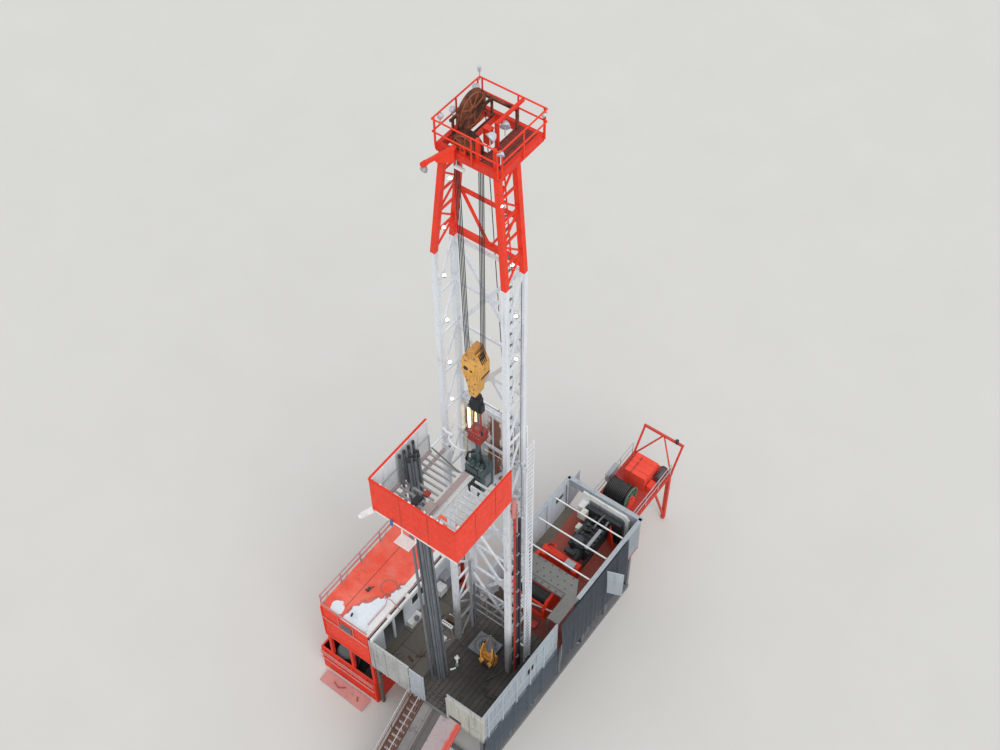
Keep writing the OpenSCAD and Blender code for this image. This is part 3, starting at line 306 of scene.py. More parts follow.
def planks(name, rgb, width, length, lo=0.72, hi=1.25, stain=None, **kw):
    """Boards or plates along Y on a floor; stain is the place of an oily patch, x and y."""
    s = Shader(name)
    edge, tone = s.boards(s.y, s.x, width, length, 0.014)
    grain = s.noise(4.0, 8, 0.7, (9, 0.8, 1), 4.0)
    base = s.shades(s.mix(0.55, tone, grain), rgb, lo, hi)
    col = worn(s, rgb, base=base, streaks=0.0, dust=0.0, **kw)
    if stain:
        dx, dy = s.sub(s.x, stain[0]), s.sub(s.y, stain[1])
        away = s.math("SQRT", s.add(s.mul(dx, dx), s.mul(dy, dy)))
        away = s.add(away, s.mul(s.noise(1.1, 8, 0.7, offset=6.0), 2.4))
        col = s.over(s.step(away, 1.6, 4.0, 0.7, 0.0), col, (34, 31, 30))
    col = s.over(s.mul(edge, 0.75), col, (28, 26, 26))
    s.bump(s.sub(grain, s.mul(edge, 0.6)), 0.5, 0.006)
    return done(s, col, (0.65, 0.9))


def by_place(name, axis, at, low, high, **kw):
    """One tone below a place on an axis and another above it."""
    s = Shader(name)
    t = s.noise(0.7, 4)
    above = s.step(s.place[axis], at - 0.02, at + 0.02)
    base = s.mix(above, s.shades(t, low, 0.9, 1.08), s.shades(t, high, 0.9, 1.06))
    return done(s, worn(s, low, base=base, **kw), (0.45, 0.7))


def windwall_right():
    """Blue-grey sheeting along the side, cream on the panel across the front."""
    s = Shader("windwall_right_paint")
    edge, tone = s.boards(s.y, s.add(s.z, 0.05), 1.25, 1.3, 0.01, 0.0)
    t = s.mix(0.5, tone, s.noise(0.8, 4))
    front = s.fall(s.y, -4.68, -4.66)
    base = s.mix(front, s.shades(t, (158, 168, 178), 0.84, 1.1), s.shades(t, (186, 186, 178), 0.88, 1.08))
    col = worn(s, WHITE, base=base, grime=0.3, rust=0.1, streaks=0.55, dust=0.0)
    low = s.step(s.add(s.z, s.noise(1.3, 5, offset=4)), 4.75, 4.95, 0.35, 0.0)
    col = s.over(low, col, (84, 84, 86))
    return done(s, s.over(s.mul(edge, 0.35), col, (90, 94, 98)), (0.5, 0.75))


def mast_windwall():
    """White sheets with brown runs, a burnt patch in the middle and a rusty left end."""
    s = Shader("mast_windwall_paint")
    edge, tone = s.boards(s.x, s.z, 1.6, 0.62, 0.012, 0.0)
    base = s.blend(s.mix(0.4, tone, s.noise(0.8, 4)), (230, 230, 229), (250, 250, 248))
    col = worn(s, WHITE, base=base, grime=0.15, rust=0.3, streaks=0.25, dust=0.0)
    run = s.noise(1.15, 7, 0.6, (1.5, 1.0, 0.42), 11.0)
    col = s.over(s.step(run, 0.57, 0.62, 0.0, 0.9), col, (150, 96, 58))
    dark = s.noise(2.4, 8, 0.7, (1.4, 1.0, 0.4), 21.0)
    col = s.over(s.step(dark, 0.60, 0.66, 0.0, 0.75), col, (84, 58, 44))
    ragged = s.noise(2.2, 9, 0.75, (1.6, 1.0, 0.5), 31.0)
    from_middle = s.size(s.add(s.x, 0.06))
    patch = s.fall(s.add(from_middle, s.mul(ragged, 2.2)), 1.36, 1.50)
    patch = s.mul(patch, s.fall(s.z, 21.9, 22.15))
    burnt = s.blend(s.noise(5.0, 8, 0.7, offset=13.0), (86, 50, 34), (160, 92, 54))
    col = s.mix(s.mul(patch, 0.92), col, burnt)
    left = s.step(s.add(s.x, s.mul(ragged, 0.4)), -1.20, -1.05, 0.85, 0.0)
    left = s.mul(left, s.fall(s.z, 21.5, 21.8))
    left = s.mul(left, s.step(s.z, 19.3, 19.7))
    col = s.over(left, col, (158, 122, 96))
    return done(s, s.over(s.mul(edge, 0.3), col, (120, 116, 114)), (0.55, 0.8))


def doghouse_roof():
    """Faded orange roof, frost along the right eave and over the front right corner."""
    s = Shader("doghouse_roof_paint")
    base = s.blend(s.step(s.noise(0.5, 6, 0.6), 0.35, 0.65), (228, 78, 58), (232, 116, 98))
    col = worn(s, ORANGE, base=base, grime=0.22, rust=0.0, streaks=0.0, dust=0.0)
    grey = s.noise(0.9, 8, 0.7, offset=7.0)
    col = s.over(s.step(grey, 0.56, 0.70, 0.0, 0.5), col, (150, 136, 134))
    seam = s.step(s.size(s.sub(s.x, -5.95)), 0.015, 0.03, 0.8, 0.0)
    col = s.over(seam, col, (138, 60, 50))
    ring = s.size(s.sub(s.distance((-4.95, -2.13, 6.95)), 0.40))
    col = s.over(s.step(ring, 0.03, 0.07, 0.6, 0.0), col, (140, 96, 84))
    reach = s.step(s.y, -4.6, -1.2, 1.55, 0.12)
    edge = s.noise(1.25, 9, 0.68, offset=2.0)
    depth = s.add(reach, s.mul(s.sub(edge, 0.5), 1.9))
    inside = s.sub(depth, s.sub(-4.10, s.x))
    up = s.step(s.normal["z"], 0.5, 0.8)
    corner = s.fall(s.add(s.distance((-6.25, -4.45, 6.98)), s.mul(edge, 0.9)), 0.80, 0.84)
    frost = s.mul(s.math("MAXIMUM", s.step(inside, 0.0, 0.06), corner), up)
    wet = s.mul(s.step(inside, -0.24, -0.04, 0.0, 0.55), up)
    col = s.over(wet, col, (120, 82, 78))
    col = s.mix(frost, col, s.blend(s.noise(6, 5), (196, 204, 213), (226, 230, 235)))
    return done(s, col, (0.5, 0.75))


def engine_deck():
    """Red plate floor, green-grey along the left wall, dark and oily under the drum."""
    s = Shader("engine_deck_paint")
    base = s.blend(s.noise(0.7, 6), (150, 58, 48), (196, 92, 76))
    col = worn(s, ORANGE, base=base, grime=0.65, rust=0.5, streaks=0.0, dust=0.25,
               rust_rgb=(104, 66, 50), dust_rgb=(150, 110, 100))
    strip = s.step(s.add(s.x, s.mul(s.noise(1.4, 5), 0.45)), -0.98, -0.78, 0.9, 0.0)
    col = s.mix(strip, col, s.blend(s.noise(2.2, 7, offset=3), (84, 90, 82), (122, 126, 112)))
    oily = s.step(s.add(s.y, s.noise(1.6, 6, offset=8)), 2.2, 3.4, 0.7, 0.0)
    return done(s, s.over(oily, col, (62, 30, 28)), (0.35, 0.7))


def ramp():
    """Pipe slide: worn grey trough on the left, faded pink slide with a red kerb on the right."""
    s = Shader("ramp_paint")
    t = s.noise(1.0, 7, 0.65, (1, 0.4, 1))
    grey, pink = s.blend(t, (104, 100, 100), (146, 142, 140)), s.blend(t, (170, 138, 138), (158, 160, 162))
    col = worn(s, WHITE, base=s.mix(s.step(s.x, 0.16, 0.18), grey, pink), grime=0.5, rust=0.25,
               streaks=0.0, dust=0.0)
    trough = s.mul(s.step(s.x, -0.36, -0.34), s.fall(s.x, 0.16, 0.18))
    col = s.over(s.mul(trough, 0.75), col, (74, 70, 70))
    kerb = s.step(s.add(s.x, s.mul(s.noise(3, 6, offset=5), 0.25)), 1.12, 1.2)
    return done(s, s.over(s.mul(kerb, 0.85), col, (206, 72, 56)), (0.5, 0.8))


def crown_frame():
    """Orange beams; the deck's top is dark worn grating."""
    s = Shader("crown_frame_paint")
    col = worn(s, CROWN_RED, grime=0.25, rust=0.3, streaks=0.25, dust=0.0)
    edge, tone = s.boards(s.x, s.y, 0.09, 0.42, 0.016, 0.0)
    grate = s.over(s.mul(edge, 0.85), s.blend(tone, (120, 44, 38), (150, 66, 56)), (58, 38, 36))
    oily = s.step(s.add(s.x, s.noise(1.4, 6)), 0.2, 0.7, 0.75, 0.0)
    grate = s.over(oily, grate, (54, 38, 36))
    deck = s.mul(s.step(s.normal["z"], 0.8, 0.95), s.step(s.z, 36.60, 36.62))
    inside = s.mul(s.fall(s.size(s.x), 1.08, 1.10), s.fall(s.size(s.y), 1.00, 1.02))
    mask = s.mul(s.mul(deck, inside), s.fall(s.z, 36.70, 36.72))
    return done(s, s.mix(mask, col, grate), (0.45, 0.75))


def rusty_sheave():
    """Dark worn rim, brighter rust on the web."""
    s = Shader("sheave_rust")
    rgb = (112, 66, 50)
    base = s.shades(s.step(s.noise(2.4, 8, 0.7), 0.35, 0.65), rgb, 0.5, 1.15)
    return done(s, worn(s, rgb, base=base, grime=0.6, rust=0.7, streaks=0.0, dust=0.0,
                        rust_rgb=(158, 82, 44), grime_rgb=(40, 33, 31), scale=2.2), (0.55, 0.85))


def tail_skid():
    """Red skid with grey rails along its sides."""
    s = Shader("tail_skid_paint")
    t = s.noise(0.8, 5)
    red, grey = s.blend(t, (190, 54, 42), (222, 68, 52)), s.blend(t, (150, 154, 160), (196, 200, 204))
    side = s.math("MAXIMUM", s.fall(s.x, -0.71, -0.69), s.step(s.x, 1.59, 1.61))
    rails = s.mul(s.mul(side, s.step(s.z, 4.26, 4.28)), s.fall(s.y, 13.15, 13.2))
    return done(s, worn(s, ORANGE, base=s.mix(rails, red, grey), grime=0.4, rust=0.3, dust=0.2,
                        dust_rgb=(160, 104, 94)), (0.45, 0.7))


def tail_machines():
    """Bright orange chest and boxes, a dark winch drum."""
    s = Shader("tail_machine_paint")
    red = s.blend(s.noise(0.8, 5), (226, 62, 44), (238, 84, 64))
    dark = s.blend(s.noise(3, 6), (62, 62, 66), (96, 96, 100))
    drum = s.mul(s.step(s.x, 1.09, 1.10), s.step(s.y, 11.98, 12.0))
    return done(s, worn(s, ORANGE, base=s.mix(drum, red, dark), grime=0.2, rust=0.2, dust=0.0), (0.45, 0.7))


def stair():
    """Brown rusty treads and stringers, grey tube rails."""
    s = Shader("stair_paint")
    slope = s.mul(s.add(s.y, 11.0), 4.2 / 6.25)
    high = s.step(s.sub(s.z, slope), 0.60, 0.66)
    t = s.noise(1.2, 6)
    brown, grey = s.blend(t, (84, 60, 54), (122, 88, 76)), s.blend(t, (156, 146, 146), (196, 190, 190))
    return done(s, worn(s, WHITE, base=s.mix(high, brown, grey), grime=0.4, rust=0.4, streaks=0.0,
                        dust=0.0, scale=1.8), (0.5, 0.8))


def skid_box():
    """Orange outside and along the rim, near-black inside as painted shade."""
    s = Shader("skid_box_paint")
    col = worn(s, ORANGE_2, grime=0.25, rust=0.3, streaks=0.3, dust=0.1)
    # deep masks the inside of the box, which gets a near-black painted shade
    deep = s.mul(s.step(s.x, -7.60, -7.56), s.fall(s.x, -4.18, -4.14))
    for mask in (s.step(s.y, -4.76, -4.71), s.fall(s.y, 2.51, 2.55), s.fall(s.z, 1.98, 2.08)):
        deep = s.mul(deep, mask)
    return done(s, s.mix(deep, col, s.blend(s.noise(2.5, 6), (20, 19, 20), (40, 36, 35))), (0.5, 0.75))


def cloth(name, rgb):
    s = Shader(name, 0.8)
    col = s.shades(s.noise(1.1, 7, 0.6), rgb, 0.8, 1.25)
    streak = s.noise(2.2, 6, 0.6, (2.5, 2.5, 0.25), 6.0)
    col = s.over(s.step(streak, 0.58, 0.8, 0.0, 0.22), col, (80, 88, 100))
    weave = s.noise(260, 2, 0.5)
    s.bump(weave, 0.35, 0.001)
    s.bsdf.inputs["Sheen Weight"].default_value = 0.12
    s.bsdf.inputs["Sheen Tint"].default_value = (0.6, 0.7, 0.84, 1.0)
    return done(s, col, (0.7, 0.9))


M = {
    "white": paint("mast_white", WHITE, grime=0.22, rust=0.30, streaks=0.25, dust=0.0, shade=0.07),
    "white_low": sooty_foot("mast_white_worn", (216, 219, 225), 7.2, grime=0.35, rust=0.55,
                            streaks=0.35, dust=0.0, shade=0.09, scale=1.4),
    "red": paint("orange_red", ORANGE, grime=0.18, rust=0.2, streaks=0.2, dust=0.05),
    "crown_red": paint("crown_red", CROWN_RED, grime=0.25, rust=0.3, streaks=0.25, dust=0.0),
    "deep_red": paint("deep_red", (176, 50, 40), grime=0.5, rust=0.4, streaks=0.4, dust=0.2,
                      dust_rgb=(150, 120, 112)),
    "rust": paint("rusty_iron", (92, 62, 48), grime=0.55, rust=0.75, streaks=0.2, dust=0.1,
                  rust_rgb=(134, 72, 42), grime_rgb=(38, 32, 30), rough=(0.6, 0.85), scale=1.6),
    "steel": paint("grey_steel", (112, 115, 120), grime=0.4, rust=0.3, metal=0.25, dust=0.1),
    "galv": paint("galvanised", (160, 164, 170), grime=0.3, rust=0.15, metal=0.35, dust=0.1, scale=1.5),
    "pipe": paint("drill_pipe", (124, 130, 137), grime=0.45, rust=0.35, metal=0.45, streaks=0.6,
                  rough=(0.35, 0.6), scale=1.8),
    "rope": paint("wire_rope", (48, 50, 54), grime=0.4, rust=0.2, metal=0.3, rough=(0.5, 0.8)),
    "black": paint("black_paint", (40, 43, 47), grime=0.3, rust=0.2, grime_rgb=(74, 70, 66),
                   dust=0.25, dust_rgb=(92, 94, 96)),
    "engine": paint("engine_black", (36, 40, 44), grime=0.45, rust=0.2, grime_rgb=(84, 80, 76),
                    dust=0.2, dust_rgb=(104, 110, 114), scale=2.0),
    "green": paint("oily_green", (72, 92, 94), grime=0.4, rust=0.2, grime_rgb=(96, 104, 100),
                   dust=0.35, dust_rgb=(120, 134, 132), scale=2.4),
    "yellow": paint("yellow_paint", (226, 166, 82), grime=0.7, rust=0.8, streaks=0.7, dust=0.0,
                    rust_rgb=BLOCK_RUST, grime_rgb=BLOCK_GRIME, scale=2.8, shade=0.2),
    "neck": paint("oily_yellow", (204, 142, 66), grime=0.8, rust=0.5, streaks=0.6, dust=0.0, scale=3.0),
    "panel": paint("pale_panel", (176, 183, 190), grime=0.3, rust=0.12, streaks=0.35, dust=0.1),
    "cream": paint("cream", (214, 212, 198), grime=0.3, rust=0.25, streaks=0.3),
    "clean_white": paint("clean_white", (228, 229, 228), grime=0.2, rust=0.08, streaks=0.15),
    "pink": paint("faded_red", (206, 132, 128), grime=0.4, rust=0.2, streaks=0.2, dust=0.3),
    "faded": paint("worn_grey_red", (188, 170, 168), grime=0.5, rust=0.3, streaks=0.2),
    "rubber": paint("black_rubber", (34, 35, 38), grime=0.25, rust=0.0, grime_rgb=(70, 68, 66),
                    rough=(0.6, 0.85)),
    "blue": paint("blue_paint", (52, 104, 160), grime=0.3, rust=0.1),
    "pale_blue": paint("pale_blue", (160, 168, 176), grime=0.3, rust=0.15),
    "dog_wall": paint("doghouse_wall", (214, 221, 228), grime=0.2, rust=0.08, streaks=0.2, dust=0.0),
    "silver": paint("silver_lamp", (206, 212, 220), grime=0.3, rust=0.05, metal=0.4, rough=(0.25, 0.45)),
    "hot_rust": paint("bright_rust", (150, 84, 52), grime=0.5, rust=0.5, rust_rgb=(176, 92, 48),
                      grime_rgb=(52, 40, 36), scale=2.5, rough=(0.6, 0.85)),
    "reel_green": paint("reel_green", (84, 122, 98), grime=0.4, rust=0.3, scale=2.0),
    # Near-black plate in the windwall's port: painted shade of the inside seen through it
    "dark": paint("port_painted_shade", (26, 26, 28), grime=0.2, rust=0.0, rough=(0.8, 0.95)),
    "window": paint("dark_glass", (44, 52, 60), grime=0.15, rust=0.0, rough=(0.1, 0.25)),
    "roof_plate": paint("grey_roof_plate", (104, 104, 103), grime=0.4, rust=0.2, dust=0.1),
    "floor": planks("floor_planks", (84, 80, 77), 0.26, 5.2, stain=(0.2, -1.5), grime=0.75, rust=0.2,
                    grime_rgb=(40, 38, 38)),
    "deck": planks("side_deck_boards", (106, 101, 94), 1.2, 1.55, 0.82, 1.14, grime=0.6, rust=0.25,
                   grime_rgb=(70, 64, 58), rust_rgb=(92, 64, 46)),
    "wall_left": sheeted("windwall_left", (178, 179, 178), "x", 1.2, 1.25, rust=0.3, streaks=0.5),
    "inner_wall": sheeted("house_left_wall", (216, 224, 234), "y", 1.7, 2.6, grime=0.2, rust=0.05,
                          streaks=0.3, dust=0.0, seam_rgb=(120, 126, 134)),
    "house_wall": sheeted("house_wall", (150, 158, 166), "y", 2.4, 2.6, rust=0.12, streaks=0.5, dust=0.12),
    "house_back": sheeted("house_back_wall", (164, 171, 178), "x", 1.5, 2.6, grime=0.3, rust=0.1,
                          streaks=0.4, dust=0.1),
    "wall_in_left": board_wall("board_wall_left_paint", "x", 1),
    "wall_in_right": board_wall("board_wall_right_paint", "x", -1),
    "wall_in_front": board_wall("board_wall_front_paint", "y", 1),
    "fingers": by_place("finger_paint", "x", 0.1, (166, 166, 168), (226, 228, 230), grime=0.4,
                        streaks=0.0, dust=0.0, rust=0.35),
    "board": by_place("board_frame_paint", "x", 0.02, (178, 160, 160), (220, 220, 222), grime=0.4,
                      rust=0.3, streaks=0.2, dust=0.0),
    "top_drive": by_place("top_drive_paint", "z", 21.55, (84, 104, 108), (158, 72, 66), grime=0.8,
                          rust=0.5, dust=0.35, dust_rgb=(118, 126, 126), scale=2.2),
    "block": by_place("block_paint", "z", 26.75, (230, 172, 88), (206, 148, 80), grime=0.7, rust=0.8,
                      streaks=0.75, dust=0.0, rust_rgb=BLOCK_RUST, grime_rgb=BLOCK_GRIME, scale=2.8),
    "standpipe": by_place("standpipe_paint", "z", 16.5, (70, 58, 62), (190, 128, 128), grime=0.4,
                          rust=0.3, dust=0.0),
    "wall_right": windwall_right(), "mast_windwall": mast_windwall(), "dog_roof": doghouse_roof(),
    "engine_deck": engine_deck(), "ramp": ramp(), "crown_frame": crown_frame(),
    "sheave": rusty_sheave(), "tail": tail_skid(), "tail_machines": tail_machines(),
    "stair": stair(), "skid_box": skid_box(),
    "lamp": glow("lit_lamp", (255, 244, 222), 4.0),
    "tube_lamp": glow("lit_tube", (255, 226, 170), 5.0),
    "curtain": cloth("dark_blue_canvas", (34, 39, 46)),
    "skirt": cloth("grey_blue_canvas", (50, 56, 64)),
}

# Finish of each node of the source, by material
LOOKS = {
    "steel": "substructure_left substructure_right substructure_cross doghouse_floor",
    "floor": "drill_floor", "deck": "side_deck", "pipe": "rotary_table racked_pipe", "neck": "roughneck",
    "white_low": "mast_left mast_right mast_back", "white": "upper_left upper_right upper_back mast_ladder",
    "red": "top_left top_right top_back crown_rails doghouse_shell drawworks",
    "crown_frame": "crown_frame", "sheave": "crown_sheaves fast_stand fast_sheave",
    "board": "racking_board", "fingers": "fingers", "wall_in_left": "board_wall_left",
    "wall_in_right": "board_wall_right", "wall_in_front": "board_wall_front",
    "mast_windwall": "mast_windwall", "block": "travelling_block", "black": "block_sheaves hook drum",
    "top_drive": "top_drive", "rope": "drilling_lines fast_line", "standpipe": "standpipe",
    "skid_box": "doghouse_base", "dog_wall": "doghouse_right", "dog_roof": "doghouse_roof",
    "wall_left": "windwall_left", "wall_right": "windwall_right",
    "panel": "vdoor_gate left_door side_door", "ramp": "vdoor_ramp", "stair": "vdoor_stair",
    "engine_deck": "engine_deck", "inner_wall": "engine_wall_left", "house_wall": "engine_wall_right",
    "house_back": "engine_wall_back", "clean_white": "house_frame", "engine": "engine",
    "roof_plate": "drawworks_roof", "tail": "tail_skid", "rubber": "reel",
    "tail_machines": "tail_machines",
}
for key, names in LOOKS.items():
    for name in names.split():
        nodes[name].data.materials.clear()
        nodes[name].data.materials.append(M[key])


# Pieces
BOX = [(0, 3, 2, 1), (4, 5, 6, 7), (0, 1, 5, 4), (1, 2, 6, 5), (2, 3, 7, 6), (3, 0, 4, 7)]
WELL_X, WELL_Y = -0.22, -0.82
FLOOR = 4.20
WALL_TOP = 6.72


def solid(name, points, faces, looks):
    """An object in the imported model's frame, from points in the source's metres."""
    mesh = bpy.data.meshes.new(name)
    mesh.from_pydata([tuple(Vector(p) + SHIFT) for p in points], [], faces)
    for key in looks:
        mesh.materials.append(M[key])
    return link(name, mesh)


class Kit:
    """Gathers boxes, bars and tubes of one piece; tone is the number of the material."""

    def __init__(self):
        self.points, self.faces, self.tones, self.smooth = [], [], [], []

    def add(self, pts, faces, tone=0, smooth=False):
        n = len(self.points)
        self.points += [tuple(p) for p in pts]
        self.faces += [tuple(n + i for i in f) for f in faces]
        self.tones += [tone] * len(faces)
        self.smooth += [smooth] * len(faces)

    def box(self, lo, hi, tone=0):
        (a, b, c), (d, e, g) = lo, hi
        pts = [(a, b, c), (d, b, c), (d, e, c), (a, e, c), (a, b, g), (d, b, g), (d, e, g), (a, e, g)]
        self.add(pts, BOX, tone)

    def bar(self, p, q, w, h=None, tone=0, up=(0, 0, 1)):
        """A bar from p to q, w wide and h high."""
        p, q, up = Vector(p), Vector(q), Vector(up)
        h = w if h is None else h
        d = (q - p).normalized()
        if abs(d.dot(up)) > 0.99:
            up = Vector((0, 1, 0))
        side = d.cross(up).normalized() * w / 2
        top = side.cross(d).normalized() * h / 2
        corners = ((-1, -1), (1, -1), (1, 1), (-1, 1))
        self.add([e + a * side + b * top for e in (p, q) for a, b in corners], BOX, tone)

    def leg(self, x, y, z0, z1, w, tone=0):
        """An upright square bar."""
        self.bar((x, y, z0), (x, y, z1), w, w, tone)

    def frame(self, x, y0, y1, z0, z1, w, tone=0, past=0.0):
        """Four bars around an opening in a wall along Y; the uprights run on by past."""
        for z in (z0, z1):
            self.bar((x, y0, z), (x, y1, z), w, w, tone)
        for y in (y0, y1):
            self.leg(x, y, z0 - past, z1 + past, w, tone)

    def tube(self, pts, d, tone=0, n=10):
        """A round tube along a line of points; d is one diameter or one for each point."""
        pts = [Vector(p) for p in pts]
        ds = d if hasattr(d, "__len__") else [d] * len(pts)
        ref = None
        verts = []
        for i, p in enumerate(pts):
            t = (pts[min(i + 1, len(pts) - 1)] - pts[max(i - 1, 0)]).normalized()
            if ref is None:
                ref = t.orthogonal().normalized()
            ref = (ref - t * ref.dot(t)).normalized()
            other = t.cross(ref)
            for k in range(n):
                a = 2 * math.pi * k / n
                verts.append(p + (ref * math.cos(a) + other * math.sin(a)) * ds[i] / 2)
        faces = [(i * n + k, i * n + (k + 1) % n, (i + 1) * n + (k + 1) % n, (i + 1) * n + k)
                 for i in range(len(pts) - 1) for k in range(n)]
        self.add(verts, faces, tone, True)
        self.add(verts[:n], [tuple(range(n))[::-1]], tone)
        self.add(verts[-n:], [tuple(range(n))], tone)

    def post(self, x, y, z0, z1, d, tone=0, n=10):
        """An upright round tube."""
        self.tube([(x, y, z0), (x, y, z1)], d, tone, n)

    def ring(self, centre, axis, d, t, tone=0, n=28, m=8):
        """A round ring of diameter d and thickness t."""
        centre, axis = Vector(centre), Vector(axis).normalized()
        a = axis.orthogonal().normalized()
        b = axis.cross(a)
        verts = []
        for i in range(n):
            w = 2 * math.pi * i / n
            out = a * math.cos(w) + b * math.sin(w)
            for k in range(m):
                u = 2 * math.pi * k / m
                verts.append(centre + out * (d / 2 + t / 2 * math.cos(u)) + axis * t / 2 * math.sin(u))
        faces = [(i * m + k, i * m + (k + 1) % m, (i + 1) % n * m + (k + 1) % m, (i + 1) % n * m + k)
                 for i in range(n) for k in range(m)]
        self.add(verts, faces, tone, True)

    def slab(self, outline, thick, tone=0):
        """A flat outline pushed along thick, a vector."""
        t = Vector(thick)
        low = [Vector(p) for p in outline]
        n = len(low)
        faces = [tuple(range(n))[::-1], tuple(range(n, 2 * n))]
        faces += [(i, (i + 1) % n, n + (i + 1) % n, n + i) for i in range(n)]
        self.add(low + [p + t for p in low], faces, tone)

    def lamp(self, at, aim, d, glass=0):
        """A round floodlight: a bowl, a rim and a glass that looks along aim."""
        at, aim = Vector(at), Vector(aim).normalized()
        self.tube([at - aim * d * 0.6, at - aim * d * 0.35, at], [d * 0.35, d * 0.8, d], 1, 16)
        self.ring(at, aim, d, d * 0.08, 1, 20, 6)
        self.tube([at, at + aim * 0.015], d * 0.92, glass, 16)

    def make(self, name, looks, bevel=0.0, body="rig"):
        """The finished piece; looks names its materials in the order of their tones."""
        obj = solid(name, self.points, self.faces, looks.split())
        obj.data.polygons.foreach_set("material_index", self.tones)
        obj.data.polygons.foreach_set("use_smooth", self.smooth)
        obj.data.update()
        if bevel:
            mod = obj.modifiers.new("edges", "BEVEL")
            mod.width = bevel
            mod.segments = 2
            mod.limit_method = "ANGLE"
            mod.angle_limit = math.radians(50)
        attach(obj, body)
        return obj


# Crown: floodlights on short stems, a beacon at the back left and a small box light
k = Kit()
for x, y, z, aim, d in [
        (0.62, -0.81, 37.55, (-0.2, -0.6, -0.3), 0.36), (0.58, 0.0, 37.4, (0.3, -0.5, -0.2), 0.32),
        (1.30, -1.20, 37.52, (0.3, -0.6, -0.4), 0.24), (1.28, 1.10, 37.45, (0.6, 0.2, -0.5), 0.22),
        (-1.25, -0.85, 37.5, (-0.6, 0.1, -0.4), 0.22), (-1.15, -0.35, 37.45, (-0.5, 0.3, -0.4), 0.22),
        (-1.24, 0.95, 37.4, (-0.5, 0.3, -0.4), 0.24)]:
    k.lamp((x, y, z), aim, d)
    k.post(x, y, z, z - 0.35, 0.035, 1, 8)
k.post(-1.28, 1.20, 37.5, 37.98, 0.04, 1, 8)
k.post(-1.28, 1.20, 37.86, 38.02, 0.13, 1, 12)
k.box((-0.50, -1.20, 36.02), (-0.14, -1.10, 36.12), 2)
for x in (-0.44, -0.20):
    k.post(x, -1.15, 36.12, 36.36, 0.03, 1, 8)
k.make("crown_lamps", "pale_blue silver clean_white")

# Gin pole arm at the crown's front left, with the posts that stand on the deck
k = Kit()
k.slab([(-0.42, -1.22, 36.34), (-0.42, -1.22, 37.02), (-1.12, -1.40, 36.28), (-0.98, -1.38, 36.16)],
       (0.0, -0.07, 0.0))
k.bar((-0.40, -1.24, 37.00), (-1.44, -1.52, 35.94), 0.15, 0.13)
k.tube([(-1.50, -1.52, 35.86), (-1.36, -1.52, 36.02)], 0.2, 0, 14)
k.bar((0.06, -0.16, 36.6), (0.06, -0.16, 37.22), 0.26, 0.2)
k.box((-0.08, -0.27, 37.18), (0.22, -0.05, 37.24))
k.leg(0.30, -1.0, 36.64, 37.5, 0.12)
k.leg(0.95, -1.0, 36.64, 37.45, 0.10)
k.make("crown_gin_arm", "red", 0.012)

# Lamps down both sides of the mast, and one floodlight that is off under the gin pole arm
k = Kit()
k.lamp((-1.46, -1.52, 35.66), (-0.3, -0.3, -0.7), 0.24, 2)
for x, y, z in [(-0.76, -1.10, 35.42), (-1.38, -0.80, 32.62), (-1.38, -0.93, 30.4), (-1.38, -0.90, 28.02),
                (-1.38, -0.88, 25.6), (-1.38, -0.88, 23.36), (1.20, -1.06, 35.32), (1.22, -0.52, 32.2),
                (1.22, -0.30, 29.42), (1.22, -0.29, 27.08)]:
    k.post(x, y + 0.02, z - 0.04, z - 0.18, 0.09, 1, 12)
    k.post(x, y, z, z - 0.05, [0.08, 0.14], 0, 14)
    arm = 0.1 if x > 0 else -0.12
    k.bar((x, y + 0.05, z - 0.12), (x + arm, y + 0.05, z - 0.12), 0.04, tone=1)
k.make("mast_lamps", "lamp galv pale_blue")

# Two lit tubes on the windwall behind the racking board
k = Kit()
for x in (-1.20, -0.90):
    k.box((x - 0.09, -0.09, 20.5), (x + 0.09, -0.03, 22.2), 1)
    k.post(x, -0.13, 20.58, 22.12, 0.09, 0, 12)
    for z in (20.50, 22.13):
        k.box((x - 0.07, -0.16, z), (x + 0.07, -0.05, z + 0.07), 1)
k.make("windwall_tubes", "tube_lamp galv")

# Ribs and top cap of that windwall
WINDWALL_LEFT, WINDWALL_RIGHT, WINDWALL_FOOT = -1.66, 1.49, 17.45
k = Kit()
for x in np.linspace(-1.6, 1.42, 7):
    k.box((x - 0.03, -0.05, 19.66), (x + 0.03, -0.012, 22.7))
k.box((WINDWALL_LEFT, -0.07, 22.66), (WINDWALL_RIGHT, -0.012, 22.75))
k.make("windwall_ribs", "white galv", 0.006)

# Lower sheets of that windwall, with their ribs and the angle along the foot
k = Kit()
sheet_edges = np.linspace(WINDWALL_LEFT, WINDWALL_RIGHT, 7)
for left, right in zip(sheet_edges, sheet_edges[1:]):
    k.box((left + 0.006, -0.006, WINDWALL_FOOT), (right - 0.006, 0.034, 19.598))
for x in sheet_edges:
    k.box((x - 0.03, -0.05, WINDWALL_FOOT + 0.04), (x + 0.03, -0.008, 19.60), 1)
k.box((WINDWALL_LEFT, -0.07, WINDWALL_FOOT), (WINDWALL_RIGHT, -0.008, WINDWALL_FOOT + 0.08), 1)
k.box((WINDWALL_LEFT, -0.006, WINDWALL_FOOT - 0.05), (WINDWALL_RIGHT, 0.07, WINDWALL_FOOT), 2)
k.make("windwall_lower", "mast_windwall white galv", 0.004)

